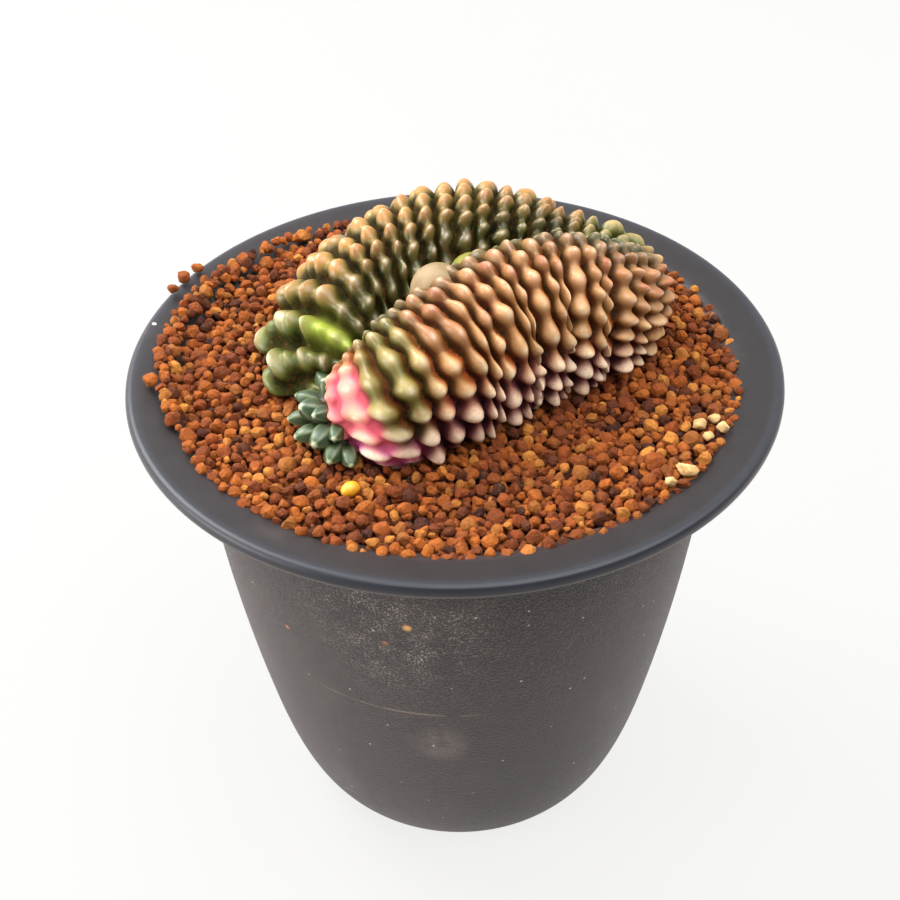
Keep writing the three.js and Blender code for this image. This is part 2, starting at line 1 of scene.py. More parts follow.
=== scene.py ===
"""A potted moon cactus of the crested kind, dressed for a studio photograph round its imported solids."""

import math

import bmesh
import bpy
import numpy as np
from mathutils import Matrix, Vector


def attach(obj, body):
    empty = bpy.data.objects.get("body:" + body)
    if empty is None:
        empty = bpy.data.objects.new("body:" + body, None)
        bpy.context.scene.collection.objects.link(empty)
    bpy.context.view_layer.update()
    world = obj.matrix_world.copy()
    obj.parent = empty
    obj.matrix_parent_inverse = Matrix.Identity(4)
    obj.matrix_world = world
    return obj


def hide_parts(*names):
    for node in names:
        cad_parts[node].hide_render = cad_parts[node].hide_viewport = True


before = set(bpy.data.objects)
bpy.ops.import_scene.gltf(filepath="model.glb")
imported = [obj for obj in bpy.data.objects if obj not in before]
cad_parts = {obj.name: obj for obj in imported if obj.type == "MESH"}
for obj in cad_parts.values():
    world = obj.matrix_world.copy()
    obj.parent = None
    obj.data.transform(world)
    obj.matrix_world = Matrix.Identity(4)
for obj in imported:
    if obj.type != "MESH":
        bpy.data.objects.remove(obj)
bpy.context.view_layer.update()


# The camera stands in front of the pot and looks down on it at about 40 degrees, from 275 mm away.
# It was fitted to the photograph: the rim's ellipse, the wall's outline and the base give its place and lens.
MM = 0.001
LENS = 56.0
SENSOR = 36.0
CAMERA_PLACE = np.array([-0.92, -173.62, 213.56]) * MM
LOOKS_DOWN = math.radians(40.22)
ROLL = math.radians(1.215)

level_right = np.array([1.0, 0.0, 0.0])
level_up = np.array([0.0, math.sin(LOOKS_DOWN), math.cos(LOOKS_DOWN)])
forward = np.array([0.0, math.cos(LOOKS_DOWN), -math.sin(LOOKS_DOWN)])
camera_right = math.cos(ROLL) * level_right - math.sin(ROLL) * level_up
camera_up = math.sin(ROLL) * level_right + math.cos(ROLL) * level_up

camera_data = bpy.data.cameras.new("studio_camera")
camera_data.lens = LENS
camera_data.sensor_width = SENSOR
camera_data.clip_start = 0.01
camera = bpy.data.objects.new("studio_camera", camera_data)
bpy.context.scene.collection.objects.link(camera)
turn = Matrix(np.column_stack([camera_right, camera_up, -forward]).tolist()).to_4x4()
camera.matrix_world = Matrix.Translation(CAMERA_PLACE.tolist()) @ turn
bpy.context.scene.camera = camera


# The table is a sheet of matt white paper, lit from below as well, so that only the faintest shadow shows
# on it. The light is that of a bright room: a large window behind on the left, a white ceiling, a pale wall
# on the left, and soft white all round, dimmer in front.
FLOOR_HALF = 1600.0
PAPER_REFLECTS = (0.035, 0.035, 0.034, 1.0)
PAPER_CLOUD = (0.033, 0.032, 0.031, 1.0)
PAPER_GLOW = 0.82
PAPER_GLOW_TONE = (1.0, 0.995, 0.98, 1.0)
ROOM_TONE = (0.98, 0.99, 1.0, 1.0)
ROOM_LIGHT = 0.9
ROOM_FRONT = 0.24
ROOM_BRIGHT_SIDE = (-0.45, 0.85, 0.1)
SOFT_LIGHTS = [
    # name, place in mm, width in mm, watts
    ("back_window", (-420.0, 300.0, 620.0), 420.0, 9.0),
    ("ceiling", (240.0, -120.0, 880.0), 900.0, 13.5),
    ("left_wall", (-840.0, -260.0, 280.0), 500.0, 8.0),
]
AIMED_AT = (0.0, 0.0, 90.0)


def piece_from(name, corners, faces, smooth=True):
    """A mesh object from corner places in millimetres and the corner numbers of each face."""
    mesh = bpy.data.meshes.new(name)
    places = np.asarray(corners, float).reshape(-1, 3) * MM
    mesh.from_pydata(places.tolist(), [], faces.tolist() if isinstance(faces, np.ndarray) else faces)
    if smooth:
        mesh.shade_smooth()
    piece = bpy.data.objects.new(name, mesh)
    bpy.context.scene.collection.objects.link(piece)
    return piece


def srgb(code):
    """A colour as it looks on a screen, written as six hex digits, in the linear numbers that shaders
    take."""
    parts = np.array([int(code[i:i + 2], 16) for i in (0, 2, 4)]) / 255
    linear = np.where(parts <= 0.04045, parts / 12.92, ((parts + 0.055) / 1.055) ** 2.4)
    return (*linear.tolist(), 1.0)


def set_sockets(tree, node, sockets):
    """Sets a node's sockets, each by its name, or by _ and its number. A value is a number, a colour in
    linear numbers or as six hex digits, or another node's output to link from."""
    for key, value in sockets.items():
        socket = node.inputs[int(key[1:])] if key[0] == "_" else node.inputs[key]
        if isinstance(value, bpy.types.NodeSocket):
            tree.links.new(value, socket)
        else:
            socket.default_value = srgb(value) if isinstance(value, str) else value


def add_node(tree, kind, settings=None, **sockets):
    """Adds a node with its properties and its sockets."""
    node = tree.nodes.new(kind)
    for key, value in (settings or {}).items():
        setattr(node, key, value)
    set_sockets(tree, node, sockets)
    return node


def new_material(name):
    """An empty node material with one Principled shader on its output: the material, its tree of nodes, the
    shader, and the object coordinates that its patterns lie on."""
    material = bpy.data.materials.new(name)
    material.use_nodes = True
    tree = material.node_tree
    tree.nodes.clear()
    shader = tree.nodes.new("ShaderNodeBsdfPrincipled")
    output = tree.nodes.new("ShaderNodeOutputMaterial")
    tree.links.new(shader.outputs["BSDF"], output.inputs["Surface"])
    return material, tree, shader, add_node(tree, "ShaderNodeTexCoord").outputs["Object"]


def noise(tree, place, scale, detail=3.0, roughness=0.55):
    """Soft noise from 0 to 1: scale is in bumps per metre."""
    return add_node(
        tree, "ShaderNodeTexNoise", None, Vector=place, Scale=scale, Detail=detail, Roughness=roughness
    ).outputs["Fac"]


def measure(tree, operation, a, b=(0.0, 0.0, 0.0)):
    """A number worked out from vectors: a length, a distance or a dot product."""
    return add_node(tree, "ShaderNodeVectorMath", {"operation": operation}, _0=a, _1=b).outputs["Value"]


def spread(tree, value, low, high, to_low=0.0, to_high=1.0):
    """Spreads the stretch from low to high over another one, smoothly and without going past its ends."""
    settings = {"interpolation_type": "SMOOTHSTEP", "clamp": True}
    return add_node(
        tree, "ShaderNodeMapRange", settings, _0=value, _1=low, _2=high, _3=to_low, _4=to_high
    ).outputs[0]


def painted(tree, tone, *coats):
    """A tone with coats painted over it in turn. Each coat is a tone of its own and its share from 0 to 1."""
    for coat, share in coats:
        tone = add_node(tree, "ShaderNodeMix", {"data_type": "RGBA"}, _0=share, _6=tone, _7=coat).outputs[2]
    return tone


floor = piece_from(
    "table_paper",
    [(x * FLOOR_HALF, y * FLOOR_HALF, 0) for x, y in ((-1, -1), (1, -1), (1, 1), (-1, 1))],
    [(0, 1, 2, 3)],
    smooth=False,
)
paper, tree, shader, place = new_material("white_paper")
cloud = spread(tree, noise(tree, place, 6.0), 0.3, 0.7)
set_sockets(tree, shader, {
    "Base Color": painted(tree, PAPER_REFLECTS, (PAPER_CLOUD, cloud)),
    "Roughness": 0.8,
    "Emission Color": PAPER_GLOW_TONE,
    "Emission Strength": PAPER_GLOW,
})
floor.data.materials.append(paper)

world = bpy.data.worlds.new("bright_room")
world.use_nodes = True
room_tree = world.node_tree
room_way = add_node(room_tree, "ShaderNodeTexCoord").outputs["Generated"]
toward_bright = measure(room_tree, "DOT_PRODUCT", room_way, ROOM_BRIGHT_SIDE)
room_strength = spread(room_tree, toward_bright, -0.9, 0.4, ROOM_LIGHT * ROOM_FRONT, ROOM_LIGHT)
set_sockets(room_tree, room_tree.nodes["Background"], {"Color": ROOM_TONE, "Strength": room_strength})
bpy.context.scene.world = world
bpy.context.scene.view_settings.view_transform = "Standard"

for light_name, light_place, light_width, watts in SOFT_LIGHTS:
    light_data = bpy.data.lights.new(light_name, "AREA")
    light_data.shape = "SQUARE"
    light_data.size = light_width * MM
    light_data.energy = watts
    light = bpy.data.objects.new(light_name, light_data)
    light.location = Vector(light_place) * MM
    light.rotation_euler = (Vector(light_place) - Vector(AIMED_AT)).to_track_quat("Z", "Y").to_euler()
    bpy.context.scene.collection.objects.link(light)


# The pot is moulded in one piece of black plastic with a matt, sandy wall and a smoother flared brim.
# Its profile goes from the drain hole over the foot ring, up the wall, round the lip and down the inside.
POT_TURNS = 200
RIM_RADIUS = 50.0
POT_HEIGHT = 86.0
BASE_RADIUS = 25.0
WALL = 2.2
LIP = 2.4
NECK_RADIUS = 40.6
CORNER_HEIGHT = 22.75
CORNER_RADIUS = 34.6
CORNER_PULL = 30.6
WALL_PULL = (39.8, 52.0)
BRIM_INNER = 44.0
FOOT_RING = 4.0
FOOT_RECESS = 1.5
FLOOR_TOP = 4.0
DRAIN_RADIUS = 5.0
EDGE_EASING = 0.5


def bend(start, pull, end, steps):
    """Points on a quadratic curve from start to end, drawn towards pull, without its first point."""
    t = np.linspace(0, 1, steps + 1)[1:, None]
    return (1 - t) ** 2 * np.array(start) + 2 * t * (1 - t) * np.array(pull) + t**2 * np.array(end)


def eased(outline, radius, steps):
    """A closed outline with a small curve for each corner, which starts and ends up to a radius away."""
    before = np.roll(outline, 1, axis=0) - outline
    after = np.roll(outline, -1, axis=0) - outline
    lengths = [np.linalg.norm(side, axis=1)[:, None] for side in (before, after)]
    start = outline + before * np.minimum(0.45, radius / lengths[0])
    end = outline + after * np.minimum(0.45, radius / lengths[1])
    t = np.linspace(0, 1, steps)[None, :, None]
    curve = (1 - t) ** 2 * start[:, None] + 2 * t * (1 - t) * outline[:, None] + t**2 * end[:, None]
    return curve.reshape(-1, 2)


def grid_faces(columns, rows, ring):
    """Faces of a grid whose columns close on themselves. Corner numbers run along a column first."""
    c, r = np.meshgrid(np.arange(columns), np.arange(rows if ring else rows - 1), indexing="ij")
    near = c * rows
    far = (c + 1) % columns * rows
    after = (r + 1) % rows
    return np.stack([near + r, far + r, far + after, near + after], axis=-1).reshape(-1, 4)


def turned(outline, turns):
    """A profile of radius and height turned about the Z axis: x = radius cos a, y = radius sin a."""
    angle = np.arange(turns)[:, None] * (2 * math.pi / turns)
    radius, height = outline[None, :, 0], outline[None, :, 1]
    return np.stack([radius * np.cos(angle), radius * np.sin(angle), height + 0 * angle], axis=-1)


def inside_wall(gap, steps):
    """The inside of the wall from the floor up to the brim, moved in by a clearance."""
    thick = WALL + gap
    base = (BASE_RADIUS - thick, FLOOR_TOP + gap)
    knee = (CORNER_RADIUS - thick, CORNER_HEIGHT + 1)
    neck = (NECK_RADIUS - thick, POT_HEIGHT - 8)
    mouth = (BRIM_INNER - gap, POT_HEIGHT - 1 + gap / 3)
    return np.vstack([
        [base],
        bend(base, (CORNER_PULL - thick, FLOOR_TOP + gap), knee, steps),
        bend(knee, (WALL_PULL[0] - thick, WALL_PULL[1]), neck, steps),
        bend(neck, (NECK_RADIUS - thick + 0.6, POT_HEIGHT - 2.6), mouth, steps),
    ])


pot_knee = (CORNER_RADIUS, CORNER_HEIGHT)
pot_neck = (NECK_RADIUS, POT_HEIGHT - 6)
brim_under = (BRIM_INNER, POT_HEIGHT - LIP - 0.4)
pot_outline = np.vstack([
    [(DRAIN_RADIUS, FOOT_RECESS), (BASE_RADIUS - FOOT_RING - FOOT_RECESS / 2, FOOT_RECESS)],
    [(BASE_RADIUS - FOOT_RING, 0), (BASE_RADIUS, 0)],
    bend((BASE_RADIUS, 0), (CORNER_PULL, 0), pot_knee, 14),
    bend(pot_knee, WALL_PULL, pot_neck, 10),
    bend(pot_neck, (NECK_RADIUS, POT_HEIGHT - LIP - 0.8), brim_under, 5),
    [(RIM_RADIUS - 0.8, POT_HEIGHT - LIP), (RIM_RADIUS, POT_HEIGHT - LIP + 0.5)],
    [(RIM_RADIUS, POT_HEIGHT - 0.6), (RIM_RADIUS - 0.7, POT_HEIGHT)],
    inside_wall(0, 6)[::-1],
    [(DRAIN_RADIUS, FLOOR_TOP)],
])
pot_profile = eased(pot_outline, EDGE_EASING, 3)
pot_faces = grid_faces(POT_TURNS, len(pot_profile), ring=True)
pot = piece_from("pot_shell", turned(pot_profile, POT_TURNS), pot_faces)

# Heights in metres: where the sandy wall turns into the brim, where the sand thickens on the way up the
# wall, which leaves the lower wall darker as painted shade, and the lip's upper half, which carries a
# painted reflection. The lip's outermost edge is told by how far it is from the middle of the pot's foot.
BRIM_STARTS = (0.0822, 0.0832)
SAND_OVER_LOW_SHADE = (0.015, 0.075)
LIP_REFLECTION_HEIGHTS = (0.0838, 0.0852)
LIP_REFLECTION_REACH = (0.0982, 0.0988)
SPECKS_PER_METRE = 900.0
SPECK_SIZE = 0.16
# Tones of the sandy wall, of the brim and of the bluish painted reflection on its lip's outer edge.
WALL_TONES = ("150e0d", "211815")
SAND_TONE = "5c4f48"
BRIM_TONES = ("0a080a", "141013")
LIP_REFLECTION_TONE = "2c3848"
# Tones of what has settled on the plastic or worn it, and of the painted shade in small pits on the brim.
FILM_TONE = "6d6058"
DUST_TONE = "9c9288"
WORN_TONE = "6a5a52"
SCUFF_TONE = "8a7866"
SPECK_TONE = "c4bcb0"
PIT_SHADE_TONE = "040304"
# Marks of use, each at its middle in millimetres and with its radius: on the front of the wall white dust
# under the brim, a worn patch, a long scuff and three crumbs of clay that stick to it, and on the brim two
# white specks.
WHITE_DUST = ((-9, -38.5, 65), 17)
WORN_PATCH = ((-3.4, -36.9, 37.9), 6)
SCUFF = ((-10, -36.6, 46.3), 17)
SCUFF_HALF = 0.35
CRUMBS = [
    ((-7.5, -39.3, 67.3), 0.9, "d29a54"),
    ((-10.8, -38.2, 63.1), 0.7, "8a5230"),
    ((-26, -29.4, 57.4), 0.6, "a8683a"),
    ((-47.5, 10, 86), 0.5, "d8d4d0"),
    ((-46.4, 3.2, 86), 0.5, "c8c0b8"),
]


def reckon(tree, operation, a, b=0.0):
    """One step of arithmetic on one or two values."""
    return add_node(tree, "ShaderNodeMath", {"operation": operation}, _0=a, _1=b).outputs[0]


def times(tree, a, b):
    """The product of two values."""
    return reckon(tree, "MULTIPLY", a, b)


def near_spot(tree, place, spot, radius):
    """1 at a spot given in millimetres, falling smoothly to 0 at its radius."""
    away = measure(tree, "DISTANCE", place, [c * MM for c in spot])
    return spread(tree, away, 0.3 * radius * MM, radius * MM, 1.0, 0.0)


def bump(tree, height, strength, depth):
    """A normal that follows a height from 0 to 1. Its depth is in metres."""
    node = add_node(tree, "ShaderNodeBump", None, Strength=strength, Distance=depth, Height=height)
    return node.outputs["Normal"]


plastic, tree, shader, place = new_material("black_plastic")
height = add_node(tree, "ShaderNodeSeparateXYZ", None, Vector=place).outputs["Z"]
on_brim = spread(tree, height, *BRIM_STARTS)
on_wall = spread(tree, height, *BRIM_STARTS[::-1])
sand = noise(tree, place, 3200.0, 2.0, 0.7)
cloud = noise(tree, place, 260.0, 4.0, 0.6)
# Painted shade: the pale sand speckle fades out towards the foot, so the lower wall is darker.
sand_over_low_shade = times(tree, spread(tree, sand, 0.5, 0.66), spread(tree, height, *SAND_OVER_LOW_SHADE, 0.05, 0.85))
wall_tone = painted(
    tree, WALL_TONES[0], (WALL_TONES[1], spread(tree, cloud, 0.4, 0.7)), (SAND_TONE, sand_over_low_shade)
)
# Painted reflection: a bluish band along the lip's outer edge.
lip_reflection = times(
    tree, spread(tree, height, *LIP_REFLECTION_HEIGHTS), spread(tree, measure(tree, "LENGTH", place), *LIP_REFLECTION_REACH)
)
brim_cloud = spread(tree, cloud, 0.3, 0.7)
brim_tone = painted(
    tree, BRIM_TONES[0], (BRIM_TONES[1], brim_cloud), (LIP_REFLECTION_TONE, times(tree, lip_reflection, 0.2))
)
# Round specks at the middles of a few cells, pale dust on the wall and painted shade of pits on the brim,
# and thin soft patches of dust.
cells = add_node(tree, "ShaderNodeTexVoronoi", None, Vector=place, Scale=SPECKS_PER_METRE)
at_middle = reckon(tree, "LESS_THAN", cells.outputs["Distance"], SPECK_SIZE)
dust_and_pit_shade_specks = times(tree, at_middle, spread(tree, cells.outputs["Color"], 0.84, 0.88))
dust_film = spread(tree, noise(tree, place, 60.0, 4.0), 0.55, 0.8)
white_dust = times(tree, near_spot(tree, place, *WHITE_DUST), spread(tree, cloud, 0.4, 0.65))
white_dust = times(tree, white_dust, spread(tree, sand, 0.52, 0.6))
worn = times(tree, near_spot(tree, place, *WORN_PATCH), spread(tree, cloud, 0.3, 0.6))
from_scuff = reckon(tree, "ABSOLUTE", reckon(tree, "SUBTRACT", height, SCUFF[0][2] * MM))
scuffed = times(
    tree, spread(tree, from_scuff, 0.0, SCUFF_HALF * MM, 1.0, 0.0), near_spot(tree, place, *SCUFF)
)
scuffed = times(tree, scuffed, spread(tree, cloud, 0.35, 0.55))
plastic_tone = painted(
    tree,
    wall_tone,
    (brim_tone, on_brim),
    (FILM_TONE, times(tree, dust_film, 0.2)),
    (DUST_TONE, times(tree, white_dust, 0.6)),
    (WORN_TONE, times(tree, worn, 0.5)),
    (SCUFF_TONE, times(tree, scuffed, 0.6)),
    (SPECK_TONE, times(tree, dust_and_pit_shade_specks, on_wall)),
    # Painted shade: dark pits on the brim.
    (PIT_SHADE_TONE, times(tree, times(tree, dust_and_pit_shade_specks, on_brim), 0.8)),
    *[(code, near_spot(tree, place, spot, radius)) for spot, radius, code in CRUMBS],
)
set_sockets(tree, shader, {
    "Base Color": plastic_tone,
    "Roughness": spread(tree, height, *BRIM_STARTS, 0.5, 0.42),
    "Specular IOR Level": 0.32,
    "Sheen Weight": 0.17,
    "Sheen Tint": (1.0, 0.87, 0.85, 1.0),
    "Sheen Roughness": 0.5,
    "Normal": bump(tree, times(tree, sand, on_wall), 0.9, 0.0003),
})
pot.data.materials.append(plastic)
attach(pot, "root")
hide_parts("pot")


# The plant is a crested cactus: instead of one growing point it has a line of them, so its ribs fan out
# from a groove, run over a raised ridge and down to the soil, and fold back on themselves. Each rib is a
# chain of waxy knobs.
SOIL_LEVEL = POT_HEIGHT - 1.3
RIBS = 46
KNOBS = 15
KNOB_CROWDING = 1.03
RIB_COLUMNS = 13
KNOB_ROWS = 10
BODY_SWELL = 0.2
LEAN = 0.1
GROOVE_HALF = 0.5
SUNK = 3.0
LEFT_END = 0.951

# The groove's own line, from its left end to its right end: x, y and height over the soil.
GROOVE = np.array([
    (-13, -9, 3), (-10, -5, 4), (-6.5, -1.5, 5), (-2, 2.5, 6),
    (4, 6, 7), (10.5, 7.5, 8), (17, 8.5, 9.5), (24, 10, 11),
], float)
# The ridge, all the way round: x, y and height over the soil, how far the flank bulges beyond it, the place
# on the groove that its rib starts from, and how strong the relief is.
RIDGE = np.array([
    (-16.2, -14.4, 9.6, 3, 0, 0.45),
    (-13.6, -16.6, 13, 6.4, 0.03, 0.7),
    (-9.6, -17, 15.6, 9.6, 0.07, 1),
    (-3.2, -13.2, 17.8, 9.2, 0.2, 1),
    (3.2, -7.8, 19.2, 10, 0.42, 1),
    (9.5, -3.6, 20, 10, 0.62, 1),
    (16.2, -0.8, 19.8, 9.2, 0.82, 1),
    (22, 2, 17.8, 8.8, 0.95, 1),
    (26, 5.8, 15, 6.6, 1, 1),
    (27, 11, 12, 4, 1, 1),
    (23.5, 15, 12, 6, 0.96, 1),
    (17.5, 15.2, 13.5, 7.5, 0.84, 1),
    (11, 16.2, 16.5, 9, 0.7, 1),
    (4, 16.6, 18, 9.8, 0.55, 1),
    (-2.5, 15.4, 18, 9.8, 0.42, 1),
    (-8.7, 12, 17, 9.8, 0.3, 1),
    (-14.2, 7.2, 15, 9.6, 0.2, 1),
    (-18.2, 2, 12, 9, 0.1, 1),
    (-20, -2.8, 8.5, 8.4, 0.03, 1),
    (-20, -8.2, 5.2, 6, 0, 0.9),
    (-16.2, -10.6, 3.6, 2, 0, 0.35),
], float)
# How wide a rib is at some places round the ridge: the share of the way, and its width beside the usual one.
RIB_WIDTHS = np.array([
    (0, 1.1), (0.1, 1), (0.35, 0.95), (0.5, 1), (0.7, 1.2),
    (0.8, 1.3), (0.87, 1.9), (0.93, 1.8), (0.965, 1), (1, 1.1),
], float)
WIDTH_STEPS = 400
# A section from the groove to the foot: share of the way out to the ridge, share of the reach beyond it,
# share of the climb from groove to ridge, share of the ridge's height, and how deep it is sunk.
SECTION = np.array([
    (0, 0, 0, 0, 0),
    (0.16, 0, 0.32, 0, 0),
    (0.42, 0, 0.76, 0, 0),
    (0.7, 0, 0.95, 0, 0),
    (1, 0, 1, 0, 0),
    (1, 0.45, 0, 0.94, 0),
    (1, 0.85, 0, 0.74, 0),
    (1, 1, 0, 0.45, 0),
    (1, 0.93, 0, 0.2, 0),
    (1, 0.78, 0, 0, 0),
    (1, 0.72, 0, 0, SUNK),
], float)
CLIMBING_ROWS = 5


def through(points, t, closed):
    """A smooth curve through points at the shares t of its way: the cubic between two points whose slope at
    each of them is that between its neighbours."""
    count = len(points) if closed else len(points) - 1
    way = np.asarray(t) * count
    start = np.floor(way).astype(int)
    start = start % count if closed else np.clip(start, 0, count - 1)
    w = (way - (np.floor(way) if closed else start)).reshape(-1, *[1] * (points.ndim - 1))
    if closed:
        a, b, c, d = (points[(start + k) % count] for k in (-1, 0, 1, 2))
    else:
        padded = np.concatenate([2 * points[:1] - points[1:2], points, 2 * points[-1:] - points[-2:-1]])
        a, b, c, d = (padded[start + k] for k in (0, 1, 2, 3))
    return 0.5 * (2 * b + (c - a) * w + (2 * a - 5 * b + 4 * c - d) * w**2 + (3 * b - a - 3 * c + d) * w**3)


def smooth_step(x, low, high):
    """Rises smoothly from 0 at low to 1 at high."""
    w = np.clip((x - low) / (high - low), 0, 1)
    return w * w * (3 - 2 * w)


def place_of(share):
    """The place round the ridge that a share of all the ribs lies before: each step of the way holds fewer
    ribs where they are wide."""
    ends = np.linspace(0, 1, WIDTH_STEPS + 1)
    held = 1 / np.interp((ends[1:] + ends[:-1]) / 2, RIB_WIDTHS[:, 0], RIB_WIDTHS[:, 1])
    before = np.concatenate([[0], np.cumsum(held)])
    return np.interp(share, before / before[-1], ends)


def smooth_crest(columns, rows):
    """The crest without its knobs. Columns are spread round the ridge as the ribs are. Each is a curve from
    the groove over the ridge to the foot, and its rows are spread along it by length, closer together
    towards the groove."""
    fine = np.linspace(0, 1, 801)
    ridge = through(RIDGE[:, :3], fine, closed=True)
    run = np.concatenate([[0], np.cumsum(np.linalg.norm(np.diff(ridge, axis=0), axis=1))])
    t = np.interp(place_of(np.arange(columns) / columns) * run[-1], run, fine)
    way = t * len(RIDGE)
    station = np.floor(way).astype(int) % len(RIDGE)
    share = smooth_step(way - np.floor(way), 0, 1)[:, None]
    beyond = RIDGE[station, 3:] * (1 - share) + RIDGE[(station + 1) % len(RIDGE), 3:] * share
    reach, start, strength = beyond.T
    top = through(RIDGE[:, :3], t, closed=True)
    low = through(GROOVE, start, closed=False)
    out = top[:, :2] - low[:, :2]
    span = np.linalg.norm(out, axis=1)
    out = out / span[:, None]
    away = np.maximum(GROOVE_HALF, SECTION[:, 0, None] * span + SECTION[:, 1, None] * reach)
    climbing = low[:, 2] + SECTION[:, 2, None] * (top[:, 2] - low[:, 2])
    falling = SECTION[:, 3, None] * top[:, 2] - SECTION[:, 4, None]
    rising = np.where(np.arange(len(SECTION))[:, None] < CLIMBING_ROWS, climbing, falling)
    section = np.stack([low[:, 0] + out[:, 0] * away, low[:, 1] + out[:, 1] * away, rising], axis=-1)
    curve = through(section, np.linspace(0, 1, 241), closed=False)
    steps = np.linalg.norm(np.diff(curve, axis=0), axis=2)
    length = np.concatenate([np.zeros((1, columns)), np.cumsum(steps, axis=0)])
    wanted = (np.arange(rows + 1) / rows)[None, :] ** KNOB_CROWDING * length[-1][:, None]
    below = np.clip((length.T[:, :, None] <= wanted[:, None, :]).sum(axis=1) - 1, 0, len(length) - 2)
    column = np.arange(columns)[:, None]
    first, last = length.T[column, below], length.T[column, below + 1]
    part = ((wanted - first) / (last - first))[..., None]
    bare = curve[below, column] * (1 - part) + curve[below + 1, column] * part
    return bare, strength


# Where ribs leave their straight line. On the left half of the front fold they slant, by so many ribs from
# top to foot, and by the side shoot they lie a little further round. Each begins and ends over a short
# stretch, given in shares of the way round the ridge.
SLANT = 3.8
SLANTING = ((-0.03, 0.06), (0.1, 0.36))
STRAIGHT_AT = 0.4
LOWERED = 0.3
LOWERING = ((0.78, 0.84), (0.93, 0.97))


def between(x, begins, ends):
    """1 between two places, with a smooth rise where it begins and a smooth fall where it ends."""
    return smooth_step(x, *begins) * (1 - smooth_step(x, *ends))


def rib_drift(around, down):
    """How far the ribs have moved on, in ribs, at a share of the way round the ridge and of the way down."""
    past_end = (around + 0.5) % 1 - 0.5
    return SLANT * between(past_end, *SLANTING) * (down - STRAIGHT_AT) + LOWERED * between(around, *LOWERING)


# The knobs: heights in millimetres, and half widths in ribs. How long they are on some of the ribs follows:
# the rib's number, and their length beside the usual one.
KNOB_HEIGHT = 2.35
RIB_HEIGHT = 1.5
NECK_HALF = 0.36
BULB_HALF = 0.52
LOW_NECK = 0.3
NECKS_SLIM = (0.5, 0.8)
WIDE_RIB = 1.3
CREASE = 5.0
SINKING = 0.6
RIPPLE = 0.9
RIPPLE_LENGTH = 1.25
WANDER = 0.12
WANDER_LENGTH = 5
ASTRAY = 0.16
SKEW = 0.02
KNOB_LENGTHS = np.array([
    (0, 1.3), (3, 1.4), (8, 1.3), (14, 1.15), (19, 1.1), (22, 1.4), (26, 1), (34, 1.1), (38, 1.2),
    (40, 1.5), (41, 2.4), (43, 2.2), (44, 1.5), (46, 1.3),
], float)


def chance(i, j):
    """A repeatable random number from 0 to 1 for two whole numbers."""
    x = np.sin(i * 12.9898 + j * 78.233) * 43758.5453
    return x - np.floor(x)


def knob_relief(across, along, around):
    """Height of the ribs and knobs, and what their colour goes by. A knob rises from its neck, is widest
    and highest at its head, and drops to the next neck, the more quickly the lower it sits. Necks near the
    soil are slimmer and lower. Across the rib a knob is round, and beyond its sides it sinks on, so that
    neighbours meet in a deep crease. Neighbouring ribs are half a knob apart. Where they meet the higher
    one wins: the logarithm of the sum of their heights' powers. Ribs that are much wider than the others
    are taller, with deeper creases, and have a ripple of their own."""
    down = along / KNOBS
    across = across - rib_drift(around, down)
    wider = np.maximum(1, np.interp(around, RIB_WIDTHS[:, 0], RIB_WIDTHS[:, 1]) / WIDE_RIB)
    neck = 1 - LOW_NECK * smooth_step(down, *NECKS_SLIM)
    neck_half, neck_height = NECK_HALF * neck, RIB_HEIGHT * neck
    nearest = np.rint(across)
    total, tip, flank, shadow_below, own = (np.zeros_like(across) for _ in range(5))
    best = np.full_like(across, -9.0)
    for neighbour in (-1, 0, 1):
        rib = nearest + neighbour
        index = np.mod(rib, RIBS)
        long = np.interp(index, KNOB_LENGTHS[:, 0], KNOB_LENGTHS[:, 1])
        wander = WANDER * np.sin(2 * math.pi * (along / WANDER_LENGTH + chance(index, 17)))
        step = along / long + (index % 2) * 0.5 + 0.2 * (chance(index, 91) - 0.5) + wander
        knob = np.floor(step + 0.5)
        past = step - knob
        size = 0.86 + 0.3 * chance(index, knob)
        astray = ASTRAY * (chance(index + 7, knob + 3) - 0.5) * np.cos(math.pi * past) ** 2
        side = across - rib - astray
        phase = past - SKEW * smooth_step(down, 0.6, 0.85) * (1 + np.cos(2 * math.pi * past))
        rise = 0.5 + 0.5 * np.cos(2 * math.pi * phase)
        half = neck_half + (BULB_HALF - neck_half) * rise
        off = np.abs(side) / half * wider**0.6
        rounded = np.clip(1 - off**2, 0, 1) ** 0.75 - SINKING * wider**2 * np.clip(off - 1, 0, 1)
        ripple = RIPPLE * (wider - 1) * np.cos(2 * math.pi * (along / RIPPLE_LENGTH + chance(index, 5)))
        height = (neck_height + (size * KNOB_HEIGHT - neck_height) * rise + ripple) * rounded
        total += np.exp(height * CREASE)
        tip = np.maximum(tip, np.exp(-((side / 0.12) ** 2) - ((past - 0.08) / 0.09) ** 2))
        flank = np.where(height > best, side / half, flank)
        # The lower side of each head, which the skin paints as a shadow.
        shadow_below = np.where(height > best, smooth_step(past, 0.12, 0.36), shadow_below)
        own = np.where(height > best, chance(index + 31, knob), own)
        best = np.maximum(best, height)
    return wider**0.5 * np.log(total) / CREASE, tip, np.clip(flank, -1, 1), shadow_below, own


crest_columns = RIBS * RIB_COLUMNS
crest_rows = KNOBS * KNOB_ROWS
crest_bare, crest_strength = smooth_crest(crest_columns, crest_rows)
crest_across = np.repeat(np.arange(crest_columns)[:, None] / RIB_COLUMNS, crest_rows + 1, axis=1)
crest_along = np.repeat(np.arange(crest_rows + 1)[None, :] / KNOB_ROWS, crest_columns, axis=0)
round_ridge = place_of(crest_across / RIBS)
round_left = (round_ridge + 0.5) % 1 - 0.5
down_rib = crest_along / KNOBS
relief, knob_tip, knob_flank, knob_shadow_below, knob_own = knob_relief(crest_across, crest_along, round_ridge)
